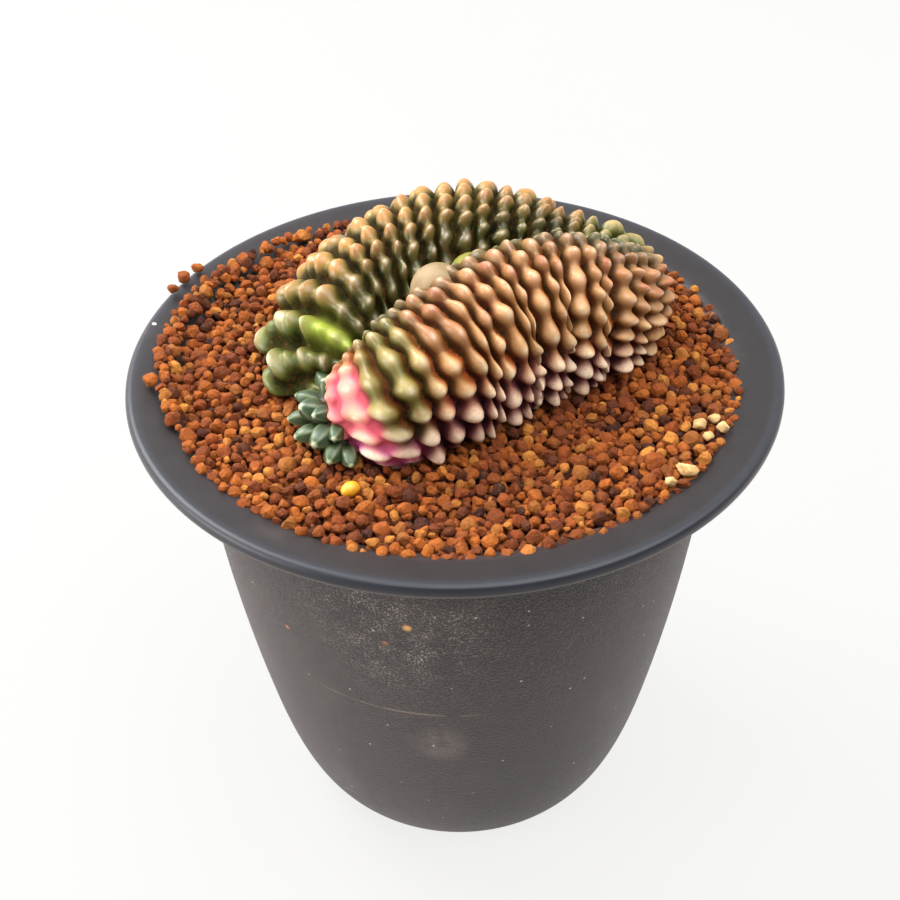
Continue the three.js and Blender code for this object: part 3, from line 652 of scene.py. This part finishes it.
# The left edge of the front fold is a smooth fleshy fold with hardly any knobs.
FOLD_HALF = 0.018
FOLD_SMOOTHS = 0.55
fold_line = 0.03 + 0.1 * (down_rib - 0.5)
smooth_fold = np.exp(-(((round_left - fold_line) / FOLD_HALF) ** 4)) * smooth_step(down_rib, 0.36, 0.48)
outward = np.gradient(crest_bare, axis=1)
outward /= np.maximum(np.linalg.norm(outward, axis=2, keepdims=True), 1e-9)
sideways = np.roll(crest_bare, -1, axis=0) - np.roll(crest_bare, 1, axis=0)
crest_normal = np.cross(outward, sideways)
crest_normal /= np.maximum(np.linalg.norm(crest_normal, axis=2, keepdims=True), 1e-9)
swelling = np.minimum(1, 0.4 + 1.5 * down_rib) * smooth_step(crest_bare[..., 2], 0, 2)
raised = (relief * swelling * crest_strength[:, None] * (1 - FOLD_SMOOTHS * smooth_fold))[..., None]
crest_skin = crest_bare + crest_normal * (raised + BODY_SWELL) + outward * LEAN * raised
crest_skin[..., 2] += SOIL_LEVEL

crest_quads = grid_faces(crest_columns, crest_rows + 1, ring=False)[:, ::-1]
# The groove and the foot are each closed by a strip that pairs the front half's columns with the back half's.
first_column = round(crest_columns * LEFT_END)
pair = np.arange(crest_columns // 2)
front = (first_column + pair) % crest_columns
back = (first_column - 1 - pair) % crest_columns
strip = np.stack([front[:-1], front[1:], back[1:], back[:-1]], axis=1) * (crest_rows + 1)
crest_faces = np.vstack([crest_quads, strip, (strip + crest_rows)[:, ::-1]])
crest = piece_from("crest_skin", crest_skin, crest_faces)

# Colour zones. Round the ridge a zone begins and ends over short stretches, given as shares of the way from
# the front fold's left end, which are below 0 before it. Down the rib it begins over a stretch of the way.
ROSE_FOOT = ((-0.01, 0.015), (0.075, 0.1))
ROSE_DOWN = (0.76, 0.84)
PINK_FOLD = ((-0.06, -0.035), (0.002, 0.016))
PINK_DOWN = (0.42, 0.54)
GREEN_LEFT = ((0.76, 0.86), (0.95, 0.97))
GREEN_FRONT = ((0.03, 0.055), (0.08, 0.11))
LIME_RIB = 41
LIME_HALF = 0.42
LIME_DOWN = ((0.1, 0.2), (0.34, 0.5))
BACK_FOLD = ((0.46, 0.51), (0.8, 0.88))
REAR_END = ((0.41, 0.44), (0.48, 0.52))
# Painted shade: the upper rows by the groove inside the folds, and the hollow by the side shoot.
GROOVE_SHADE_DOWN = (0.24, 0.46)
HOLLOW_SHADE_ROUND = ((0.78, 0.85), (0.96, 0.99))
HOLLOW_SHADE_DOWN = (0.7, 0.82)
# Painted light: paler heads on the front foot, where it lies in shade.
LIT_FOOT = ((0.015, 0.04), (0.34, 0.4))
LIT_DOWN = (0.66, 0.82)
MAUVE_FOOT = ((0.06, 0.12), (0.33, 0.4))
MAUVE_DOWN = (0.64, 0.82)


def note_on_surface(piece, name, values):
    """Keeps one number for each corner of a mesh, for its material to read."""
    attribute = piece.data.attributes.new(name, "FLOAT", "POINT")
    attribute.data.foreach_set("value", np.asarray(values, np.float32).ravel())


rose = between(round_left, *ROSE_FOOT) * smooth_step(down_rib, *ROSE_DOWN)
pink = between(round_left - fold_line, *PINK_FOLD) * smooth_step(down_rib, *PINK_DOWN)
green_left = between(round_ridge, *GREEN_LEFT)
lime_rib = np.exp(-(((crest_across - rib_drift(round_ridge, down_rib) - LIME_RIB) / LIME_HALF) ** 2))
lime = lime_rib * between(down_rib, *LIME_DOWN)
rear = between(round_ridge, *REAR_END)
deep_shade = (1 - smooth_step(down_rib, *GROOVE_SHADE_DOWN)) * (1 - rear) * (1 - 0.8 * lime_rib)
hollow_shade = between(round_ridge, *HOLLOW_SHADE_ROUND) * smooth_step(down_rib, *HOLLOW_SHADE_DOWN)
lit_foot = between(round_left, *LIT_FOOT) * smooth_step(down_rib, *LIT_DOWN)
mauve = between(round_ridge, *MAUVE_FOOT) * smooth_step(down_rib, *MAUVE_DOWN)
crest_notes = {
    "rise": np.clip(1.15 * relief / KNOB_HEIGHT - 0.2, 0, 1),
    "tip": knob_tip * (0.3 + 0.6 * smooth_step(down_rib, 0.5, 0.8)),
    # Painted shade: a red-brown coat on each knob's right flank, the side away from the light.
    "shaded_flank": smooth_step(knob_flank, 0.1, 0.85) * (1 - mauve),
    # Painted shadow under each knob's head.
    "shadow_below": knob_shadow_below,
    "own": knob_own,
    "upper": (1 - smooth_step(down_rib, 0.4, 0.75)) * (0.6 + 0.4 * knob_own),
    "pink": pink * (1 - rose),
    "rose": rose,
    "green": np.maximum(green_left, 0.75 * between(round_left, *GREEN_FRONT)),
    "lime": lime,
    "back": between(round_ridge, *BACK_FOLD),
    "rear": rear,
    "shade": 0.28 * green_left * (1 - lime),
    # Painted light: paler heads on the front foot.
    "pale": 0.7 * lit_foot * smooth_step(relief / KNOB_HEIGHT, 0.4, 0.85),
    # Painted shade by the groove and in the hollow by the side shoot.
    "deep_shade": np.maximum(deep_shade, 0.85 * hollow_shade),
    "mauve": mauve * (1 - rose),
}
for note_name, note_values in crest_notes.items():
    note_on_surface(crest, note_name, note_values)

# Skin tones of the zones, each from the valley between two ribs up to the top of a knob. The valley end
# is dark as painted shade in the crease.
CREASE_SHADED_SKIN_TONES = {
    "tan": ("1e0c06", "66381e", "ae7c4c", "caa06c", "dec08e"),
    "upper": ("180c06", "4e3420", "8c6238", "a8643c", "ac5c38"),
    "green": ("080c04", "28340f", "4c5822", "707436", "908c58"),
    "back": ("0c0c04", "3e361c", "806a34", "ae7a42", "b8804a"),
    "rear": ("0c1004", "2c3410", "585a28", "7e7440", "a08c58"),
    "deep_shade": ("020301", "101808", "262e12", "464420", "685830"),
    "mauve": ("34102a", "663040", "a05c58", "d0a88e", "f0dac2"),
    "pink": ("c05060", "d86c74", "e07e78", "dc8c7c", "d8a48c"),
    "rose": ("d45c94", "f490b4", "fcb4c0", "fcd4cc", "fce8dc"),
}
# Tones of the painted shade on the right flank of a knob and the painted shadow under its head, of the
# bright green rib, and of what lies over all zones: patches, darker single knobs, painted shade on the left,
# pale heads at the foot lightened as painted light, freckles and pale points.
SHADED_FLANK_TONE = "9c4a20"
SHADOW_BELOW_TONE = "5c2a1a"
LIME_TONE = "9cac40"
PATCH_TONE = "5c5424"
DARK_KNOB_TONE = "3c2410"
SHADE_TONE = "343a14"
PALE_LIGHT_TONE = "f4dcc0"
FRECKLE_TONE = "7a4224"
POINT_TONE = "efe0c4"


def noted(tree, name):
    """The number that a mesh keeps under this name."""
    return add_node(tree, "ShaderNodeAttribute", {"attribute_name": name}).outputs["Fac"]


def tones_by(tree, share, codes):
    """Colours for a share from 0 to 1, at even steps of it."""
    ramp = tree.nodes.new("ShaderNodeValToRGB")
    tree.links.new(share, ramp.inputs["Fac"])
    while len(ramp.color_ramp.elements) < len(codes):
        ramp.color_ramp.elements.new(0.5)
    for stop, at, code in zip(ramp.color_ramp.elements, np.linspace(0, 1, len(codes)), codes):
        stop.position = at
        stop.color = srgb(code)
    return ramp.outputs["Color"]


def mottle_group():
    """Mottling as on skin or baked clay: a soft cloud of wide patches and a finer grain, both from 0 to 1."""
    group = bpy.data.node_groups.new("mottling", "ShaderNodeTree")
    group.interface.new_socket("Place", in_out="INPUT", socket_type="NodeSocketVector")
    group.interface.new_socket("Patches per metre", in_out="INPUT", socket_type="NodeSocketFloat")
    group.interface.new_socket("Grains per metre", in_out="INPUT", socket_type="NodeSocketFloat")
    group.interface.new_socket("Patches", in_out="OUTPUT", socket_type="NodeSocketFloat")
    group.interface.new_socket("Grain", in_out="OUTPUT", socket_type="NodeSocketFloat")
    given = group.nodes.new("NodeGroupInput").outputs
    result = group.nodes.new("NodeGroupOutput").inputs
    patches = noise(group, given["Place"], given["Patches per metre"])
    group.links.new(spread(group, patches, 0.3, 0.7), result["Patches"])
    group.links.new(noise(group, given["Place"], given["Grains per metre"], 4.0, 0.65), result["Grain"])
    return group


mottling = mottle_group()


def mottle(tree, place, patches, grains):
    """The mottling group with its two scales: its patches and its grain."""
    node = add_node(tree, "ShaderNodeGroup", {"node_tree": mottling})
    set_sockets(tree, node, {"Place": place, "Patches per metre": patches, "Grains per metre": grains})
    return node.outputs["Patches"], node.outputs["Grain"]


flesh, tree, shader, place = new_material("crest_flesh")
patches, grain = mottle(tree, place, 220.0, 1500.0)
# Low in the creases the skin tones are dark, as painted shade.
rise = noted(tree, "rise")


def zone_coat(zone):
    """A zone's skin tones by the height of the knobs, and where it lies."""
    return tones_by(tree, rise, CREASE_SHADED_SKIN_TONES[zone]), noted(tree, zone)


not_pink = spread(tree, noted(tree, "pink"), 0.0, 1.0, 1.0, 0.0)
skin = painted(
    tree,
    tones_by(tree, rise, CREASE_SHADED_SKIN_TONES["tan"]),
    zone_coat("upper"),
    (SHADED_FLANK_TONE, times(tree, noted(tree, "shaded_flank"), 0.75)),
    (SHADOW_BELOW_TONE, times(tree, noted(tree, "shadow_below"), 0.45)),
    *[zone_coat(zone) for zone in ("green", "back", "rear", "deep_shade", "mauve")],
    (LIME_TONE, noted(tree, "lime")),
    zone_coat("pink"),
    zone_coat("rose"),
    (PATCH_TONE, times(tree, patches, 0.2)),
    (DARK_KNOB_TONE, spread(tree, noted(tree, "own"), 0.5, 1.0, 0.0, 0.22)),
    (SHADE_TONE, noted(tree, "shade")),
    (PALE_LIGHT_TONE, noted(tree, "pale")),
    (FRECKLE_TONE, times(tree, spread(tree, grain, 0.5, 0.68, 0.0, 0.3), not_pink)),
    (POINT_TONE, noted(tree, "tip")),
)
waxy = spread(tree, grain, 0.3, 0.7, 0.28, 0.44)
waxy = reckon(tree, "SUBTRACT", waxy, times(tree, noted(tree, "back"), 0.08))
in_valley = spread(tree, rise, 0.05, 0.35, 0.4, 0.0)
shine = times(tree, spread(tree, rise, 0.2, 0.75, 0.06, 0.38), spread(tree, not_pink, 0.0, 1.0, 0.4, 1.0))
set_sockets(tree, shader, {
    "Base Color": skin,
    "Roughness": reckon(tree, "ADD", waxy, in_valley),
    "Specular IOR Level": shine,
    "Subsurface Weight": 0.12,
    "Subsurface Radius": (1.0, 0.5, 0.25),
    "Subsurface Scale": 0.0012,
    "Normal": bump(tree, grain, 0.3, 0.0002),
})
crest.data.materials.append(flesh)
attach(crest, "root")
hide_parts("crest")


# A smooth round bud, cream-coloured, sits in the groove against the front fold, with a greener swelling
# behind it. Both are part of the crest. Each is given by its middle and its radius.
BUDS = [((-2.2, -4.2, 15.9), 4.0), ((2.9, 4.2, 12.9), 3.4)]
BUD_TONES = ("8c785a", "7c6848")
SWELLING_TONE = "74702e"
SWELLING_STARTS = (0.0, 0.002)


def ball(rings, sides):
    """A unit ball as a stack of rings from the bottom to the top, with one point at each pole, and its
    faces."""
    up = np.linspace(-math.pi / 2, math.pi / 2, rings + 1)[1:-1, None]
    angle = np.arange(sides)[None, :] * (2 * math.pi / sides)
    rows = np.stack([np.cos(up) * np.cos(angle), np.cos(up) * np.sin(angle), np.sin(up) + 0 * angle], axis=-1)
    points = np.vstack([[(0, 0, -1)], rows.reshape(-1, 3), [(0, 0, 1)]])
    here = np.arange(sides)
    after = (here + 1) % sides
    last = 1 + (rings - 2) * sides
    bottom = np.column_stack([0 * here, 1 + after, 1 + here])
    top = np.column_stack([0 * here + last + sides, last + here, last + after])
    low = 1 + np.arange(rings - 2)[:, None] * sides
    belts = np.stack([low + here, low + after, low + sides + after, low + sides + here], axis=-1)
    return points, bottom.tolist() + top.tolist() + belts.reshape(-1, 4).tolist()


def joined(shapes):
    """Several closed shapes as one: all their points, and all their faces with the corner numbers moved
    on."""
    starts = np.cumsum([0] + [len(points) for points, _ in shapes])
    all_faces = []
    for start, (_, faces) in zip(starts.tolist(), shapes):
        all_faces += [[start + n for n in face] for face in faces]
    return np.vstack([points for points, _ in shapes]), all_faces


bud_points, bud_faces = ball(32, 48)
bud_shapes = [(bud_points * radius + (x, y, z + SOIL_LEVEL), bud_faces) for (x, y, z), radius in BUDS]
bud = piece_from("crest_bud", *joined(bud_shapes))
bud_skin, tree, shader, place = new_material("bud_flesh")
patches, grain = mottle(tree, place, 300.0, 1800.0)
toward_back = add_node(tree, "ShaderNodeSeparateXYZ", None, Vector=place).outputs["Y"]
on_swelling = spread(tree, toward_back, *SWELLING_STARTS)
set_sockets(tree, shader, {
    "Base Color": painted(tree, BUD_TONES[0], (BUD_TONES[1], patches), (SWELLING_TONE, on_swelling)),
    "Roughness": spread(tree, grain, 0.3, 0.7, 0.5, 0.6),
    "Specular IOR Level": 0.2,
})
bud.data.materials.append(bud_skin)
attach(bud, "root")
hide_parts("crest")


# The side shoot is a small blue-green head at the left end of the front fold: fat pointed knobs on a short
# lying stem. Each has five blunt edges, painted paler than its sides as a highlight along them.
SHOOT_STEM = [
    # the place of a ball over the soil, and its radius
    (-18, -12.6, 2.6, 2.3),
    (-18.2, -17, 2.4, 2.6),
    (-16.8, -21.2, 2, 2.4),
]
SHOOT_KNOBS = [
    # root, degrees round the shoot, degrees up, length and half the width
    (-19, -15.6, 2.1, 190, 4, 5.4, 1.3),
    (-18.4, -16.8, 3.4, 200, 34, 4.8, 1.75),
    (-18.6, -13.2, 2.6, 168, 10, 5, 1.25),
    (-17.8, -11.8, 3, 128, 26, 4.4, 1.3),
    (-17.2, -13.6, 3.2, 160, 62, 4.2, 1.35),
    (-17, -17.4, 4, 224, 26, 4.8, 1.35),
    (-18.4, -19, 2.2, 203, 6, 5, 1.4),
    (-17.6, -19.8, 3, 244, 12, 5.4, 1.75),
    (-16.4, -20, 3.4, 262, 20, 4.6, 1.3),
    (-16.6, -21.6, 2, 256, 4, 4.8, 1.45),
    (-15.4, -22.4, 1.9, 280, 2, 4.4, 1.3),
    (-17.4, -11.4, 2.4, 100, 6, 4.2, 1.3),
]
KNOB_FULLNESS = 2.13
KNOB_EDGES = 5
EDGE_SHARPNESS = 3
SHOOT_TONES = ("0e160e", "2a402c")
SHOOT_PATCH_TONE = "525c2c"
SHOOT_EDGE_HIGHLIGHT_TONE = "7f8a66"
SHOOT_POINT_TONE = "a9ae8c"


def shoot_knob(x, y, z, round_by, up_by, length, half):
    """One knob: its radius goes with the root of the share along it, and evenly to nothing at its point. It
    has blunt edges, by the cosine of the angle round it, and is tipped up, turned round and moved to its
    root."""
    points, faces = ball(18, 20)
    share = np.clip((points[:, 2] + 1) / 2, 0, 1)
    angle = np.arctan2(points[:, 1], points[:, 0])
    edge = np.cos(KNOB_EDGES * angle)
    radius = KNOB_FULLNESS * half * share**0.5 * (1 - share) ** 0.6 * (1 + 0.07 * edge)
    side, over, ahead = radius * np.cos(angle), radius * np.sin(angle), share * length
    tilt = math.radians(90 - up_by)
    spin = math.radians(round_by)
    leaning = side * math.cos(tilt) + ahead * math.sin(tilt)
    upright = ahead * math.cos(tilt) - side * math.sin(tilt)
    turned_x = leaning * math.cos(spin) - over * math.sin(spin)
    turned_y = leaning * math.sin(spin) + over * math.cos(spin)
    corners = np.stack([turned_x, turned_y, upright], axis=-1) + (x, y, z + SOIL_LEVEL)
    return corners, faces, share, np.clip(edge, 0, 1) ** EDGE_SHARPNESS


stem_points, stem_faces = ball(20, 28)
stem = [(stem_points * radius + (x, y, z + SOIL_LEVEL), stem_faces) for x, y, z, radius in SHOOT_STEM]
knobs = [shoot_knob(*knob) for knob in SHOOT_KNOBS]
shoot = piece_from("shoot_knobs", *joined(stem + [knob[:2] for knob in knobs]))
bare_stem = np.zeros(len(stem_points) * len(stem))
note_on_surface(shoot, "tip", np.concatenate([bare_stem] + [knob[2] for knob in knobs]))
note_on_surface(shoot, "edge", np.concatenate([bare_stem] + [knob[3] for knob in knobs]))
young, tree, shader, place = new_material("shoot_flesh")
patches, grain = mottle(tree, place, 300.0, 1800.0)
tip = noted(tree, "tip")
set_sockets(tree, shader, {
    "Base Color": painted(
        tree,
        SHOOT_TONES[0],
        (SHOOT_TONES[1], spread(tree, tip, 0.15, 0.7)),
        (SHOOT_PATCH_TONE, times(tree, patches, 0.4)),
        # Painted highlight along the knobs' edges.
        (SHOOT_EDGE_HIGHLIGHT_TONE, times(tree, noted(tree, "edge"), 0.4)),
        (SHOOT_POINT_TONE, spread(tree, tip, 0.93, 1.0)),
    ),
    "Roughness": spread(tree, grain, 0.3, 0.7, 0.3, 0.45),
})
shoot.data.materials.append(young)
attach(shoot, "root")
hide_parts("side_shoot")


# The soil is hard fired-clay granules of 0.9 to 2.7 mm, most of them near 1.5 mm, dry and unglued. They
# fill the pot to the brim, and on the left some have spilled over it. Under the granules that show lies one
# solid bed, which has the shape of the pot's inside. It takes the darkest clay tone, as painted shade in the
# gaps between the granules.
BED_GAP = 0.35
BED_DEPTH = 2.3
BED_RADIUS = 41.0
BED_TURNS = 120
SOIL_EDGE = 43.4
GRANULE_SMALLEST = 0.9
GRANULE_USUAL = 1.5
GRANULE_LARGEST = 2.7
GRANULE_VARIETY = 0.26
# Tones of the granules, from one end of their range to the other, of patches on them and of pale grain.
CLAY_TONES = ("281008", "823c10", "a05618", "6a300e", "c07c32")
CLAY_PATCH_TONE = "4a2010"
CLAY_GRAIN_TONE = "b07838"
# The spill: how far it goes over the brim, in which direction, and over what half angle.
SPILL = 2.6
SPILL_TOWARD = math.radians(163)
SPILL_HALF = math.radians(34)

bed_outline = np.vstack([
    [(0.001, FLOOR_TOP + BED_GAP)],
    inside_wall(BED_GAP, 6)[:-4],
    np.stack([np.linspace(BED_RADIUS, 0.001, 22), np.full(22, SOIL_LEVEL - BED_DEPTH)], axis=1),
])
bed_faces = grid_faces(BED_TURNS, len(bed_outline), ring=True)
bed = piece_from("soil_bed", turned(bed_outline, BED_TURNS), bed_faces)

# Loose pieces that lie on the granules or on the brim: the middle of each, its size, and its turn in degrees.
PALE_GRAINS = [
    ((35.1, -17.7, 85.5), (2.5, 2.0, 1.7), 20),
    ((37.4, -16.5, 85.8), (2.1, 1.7, 1.6), 80),
    ((38.3, -18.9, 85.9), (2.1, 1.8, 1.6), 140),
    ((36.0, -20.3, 85.4), (1.9, 1.6, 1.5), 50),
    ((31.9, -27.4, 85.6), (3.6, 2.5, 2.0), 155),
    ((29.2, -30.2, 85.7), (1.9, 1.6, 1.5), 10),
]
PELLET = ((-14.7, -30.2, 85.6), (2.9, 2.2, 2.2), 35)
BRIM_GRAINS = [
    ((-45.6, -6.2, 86.9), (3.2, 2.4, 2.0), 100),
    ((-45.4, 18.0, 87.1), (2.4, 2.0, 1.7), 70),
    ((-44.2, 21.4, 87.2), (2.6, 2.2, 1.9), 120),
    ((-42.2, 24.4, 87.1), (2.3, 1.9, 1.7), 15),
]
LOOSE = [(np.array(at[:2]), size[0] * 0.45) for at, size, _ in PALE_GRAINS + [PELLET] + BRIM_GRAINS]
# Layers of granules: name, how many are dropped, how close they lie, how far they stay inside the soil's
# edge, their share of the spill, their depth under the soil's level, what they keep off, and their palest
# shade. The deeper layers are kept darker, as painted shade under the granules above.
GRANULE_LAYERS = [
    ("granules_top", 4400, 0.88, 0.0, 1.0, 0.1, LOOSE, 1.0),
    ("granules_middle", 2800, 0.86, 0.4, 0.7, 0.8, [], 0.7),
    ("granules_lower", 2800, 0.86, 1.2, 0.0, 1.5, [], 0.25),
]

rng = np.random.default_rng(7)
# The outline of the plant's foot, a little inside its skin, which keeps the granules out.
foot_outline = crest_bare[::6, round(crest_rows * 0.955), :2]
foot_middle = foot_outline.mean(axis=0)
foot_inside = foot_middle + (foot_outline - foot_middle) * 0.97


def chipped_stones(places, sizes, rng, level, chips=6):
    """Many small stones as one set of corners and faces. Each is a ball whose points are drawn in to a few
    flat chips, roughened, stretched, turned at random and moved to its place."""
    shape = bmesh.new()
    bmesh.ops.create_icosphere(shape, subdivisions=level, radius=1)
    points = np.array([v.co for v in shape.verts])
    faces = np.array([[v.index for v in f.verts] for f in shape.faces])
    shape.free()
    points /= np.linalg.norm(points, axis=1, keepdims=True)
    count = len(places)
    chip = rng.normal(size=(count, chips, 3))
    chip /= np.linalg.norm(chip, axis=2, keepdims=True)
    depth = rng.uniform(0.55, 0.88, size=(count, chips, 1))
    toward = np.maximum(chip @ points.T, 1e-3)
    radius = np.minimum(1, (depth / toward).min(axis=1))
    radius *= 1 + rng.uniform(-0.1, 0.1, size=radius.shape)
    stone = points[None] * radius[..., None]
    stone *= sizes[:, None, :] / 2
    turn_by = np.linalg.qr(rng.normal(size=(count, 3, 3)))[0]
    turn_by *= np.sign(np.linalg.det(turn_by))[:, None, None]
    stone = stone @ turn_by + places[:, None]
    all_faces = faces[None] + (np.arange(count) * len(points))[:, None, None]
    return stone.reshape(-1, 3), all_faces.reshape(-1, 3), len(points)


def inside_outline(places, outline):
    """True for each place inside a closed outline, by how many of its sides lie to the right."""
    x, y = places[:, None, 0], places[:, None, 1]
    a, b = outline[None], np.roll(outline, -1, axis=0)[None]
    spans = (a[..., 1] > y) != (b[..., 1] > y)
    rise_of = np.where(spans, b[..., 1] - a[..., 1], 1)
    crossing = a[..., 0] + (y - a[..., 1]) * (b[..., 0] - a[..., 0]) / rise_of
    return (spans & (x < crossing)).sum(axis=1) % 2 == 1


def spilled(angle):
    """How much of the spill lies in a direction: 1 in its middle, falling smoothly to 0 on both sides."""
    return np.exp(-(((angle % (2 * math.pi) - SPILL_TOWARD) / SPILL_HALF) ** 2))


def scattered(sizes, closeness, edge, spill, keep_off):
    """Drops granules one by one, the big ones first, and keeps each where it finds room between the
    others."""
    kept = np.empty((0, 2))
    kept_sizes = np.empty(0)
    for size in np.sort(sizes)[::-1]:
        angle = rng.uniform(0, 2 * math.pi, 40)
        radius = np.sqrt(rng.uniform(0, 1, 40)) * (edge + spill * spilled(angle))
        tries = np.stack([radius * np.cos(angle), radius * np.sin(angle)], axis=1)
        tries = tries[~inside_outline(tries, foot_inside)]
        for stem_x, stem_y, _, stem_radius in SHOOT_STEM:
            tries = tries[np.hypot(tries[:, 0] - stem_x, tries[:, 1] - stem_y) > stem_radius]
        for spot, room in keep_off:
            tries = tries[np.linalg.norm(tries - spot, axis=1) > room + size * 0.4]
        if len(kept):
            apart = np.linalg.norm(tries[:, None] - kept[None], axis=2)
            tries = tries[(apart - closeness * (size + kept_sizes[None]) / 2).min(axis=1) > 0]
        if len(tries):
            kept = np.vstack([kept, tries[:1]])
            kept_sizes = np.append(kept_sizes, size)
    return kept, kept_sizes


def granule_layer(name, count, closeness, inset, spill_share, depth, keep_off, palest):
    """One layer of granules on the soil: scattered over it, each a little higher or lower than the next.
    Where they have spilled they lie on the brim, and the soil inside rises to it."""
    edge = SOIL_EDGE - inset
    dropped = rng.lognormal(math.log(GRANULE_USUAL), GRANULE_VARIETY, count)
    dropped = np.clip(dropped, GRANULE_SMALLEST, GRANULE_LARGEST)
    spots, sizes = scattered(dropped, closeness, edge, spill_share * SPILL, keep_off)
    settled = 0.35 * np.sin(spots[:, 0] * 0.11 + 1) * np.cos(spots[:, 1] * 0.09)
    height = SOIL_LEVEL - depth + settled + rng.uniform(-0.45, 0.4, len(spots))
    rising = smooth_step(np.hypot(spots[:, 0], spots[:, 1]), edge - 1.6, edge + 0.6)
    rising *= np.minimum(1, 3 * spilled(np.arctan2(spots[:, 1], spots[:, 0])))
    height += rising * (POT_HEIGHT + 0.6 - height) * (spill_share > 0)
    shapes = sizes[:, None] * rng.uniform(0.82, 1.12, (len(sizes), 3))
    corners, faces, per_stone = chipped_stones(np.column_stack([spots, height]), shapes, rng, level=2)
    layer = piece_from(name, corners, faces, smooth=False)
    # Each granule gets a random tone up to its layer's palest. The darker deep layers are painted shade.
    note_on_surface(layer, "shade", np.repeat(rng.uniform(0, palest, len(spots)), per_stone))
    return layer


clay, tree, shader, place = new_material("fired_clay")
patches, grain = mottle(tree, place, 700.0, 3500.0)
set_sockets(tree, shader, {
    "Base Color": painted(
        tree,
        tones_by(tree, noted(tree, "shade"), CLAY_TONES),
        (CLAY_PATCH_TONE, times(tree, patches, 0.35)),
        (CLAY_GRAIN_TONE, times(tree, spread(tree, grain, 0.55, 0.75), 0.45)),
    ),
    "Roughness": 0.88,
    "Specular IOR Level": 0.3,
    "Normal": bump(tree, grain, 0.6, 0.0004),
})
for soil_piece in [bed] + [granule_layer(*layer) for layer in GRANULE_LAYERS]:
    soil_piece.data.materials.append(clay)
    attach(soil_piece, "root")
    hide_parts("soil")


# Loose pieces: six chips of cream pumice by the brim on the right, one yellow feed pellet at the front, and
# a few clay granules that have rolled onto the brim on the left.
PUMICE_TONES = ("d4b27c", "a87e40")
PELLET_TONES = ("d89c20", "b87410")
FIRST_ROLLED_SEED = 41


def laid(points, at, size, turn_degrees):
    """Points of a unit ball stretched to a size, turned about the upright axis and moved to their place."""
    points = points * np.array(size) / 2
    angle = math.radians(turn_degrees)
    x = points[:, 0] * math.cos(angle) - points[:, 1] * math.sin(angle)
    y = points[:, 0] * math.sin(angle) + points[:, 1] * math.cos(angle)
    return np.column_stack([x, y, points[:, 2]]) + np.array(at)


def loose_stone(name, seed, lies, material, node):
    """One rough pebble, laid where and as it lies."""
    stone_rng = np.random.default_rng(seed)
    unit = np.full((1, 3), 2.0)
    corners, faces, _ = chipped_stones(np.zeros((1, 3)), unit, stone_rng, level=3, chips=9)
    piece = piece_from(name, laid(corners, *lies), faces)
    note_on_surface(piece, "shade", np.full(len(corners), stone_rng.uniform(0.2, 0.9)))
    piece.data.materials.append(material)
    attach(piece, "root")
    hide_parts(node)


pumice, tree, shader, place = new_material("cream_pumice")
patches, grain = mottle(tree, place, 700.0, 3500.0)
set_sockets(tree, shader, {
    "Base Color": painted(tree, PUMICE_TONES[0], (PUMICE_TONES[1], times(tree, patches, 0.8))),
    "Roughness": 0.9,
    "Normal": bump(tree, grain, 0.6, 0.0004),
})
for n, lies in enumerate(PALE_GRAINS, 1):
    loose_stone(f"pumice_{n}", n, lies, pumice, f"pale_grain_{n}")
for n, lies in enumerate(BRIM_GRAINS, 1):
    seed = FIRST_ROLLED_SEED + n - 1
    loose_stone(f"rolled_granule_{n}", seed, lies, clay, f"brim_grain_{n}")

pellet_points, pellet_faces = ball(20, 28)
pellet = piece_from("feed_pellet", laid(pellet_points, *PELLET), pellet_faces)
coating, tree, shader, place = new_material("yellow_coating")
patches, grain = mottle(tree, place, 500.0, 2500.0)
set_sockets(tree, shader, {
    "Base Color": painted(tree, PELLET_TONES[0], (PELLET_TONES[1], patches)),
    "Roughness": spread(tree, grain, 0.3, 0.7, 0.3, 0.45),
})
pellet.data.materials.append(coating)
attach(pellet, "root")
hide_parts("yellow_pellet")
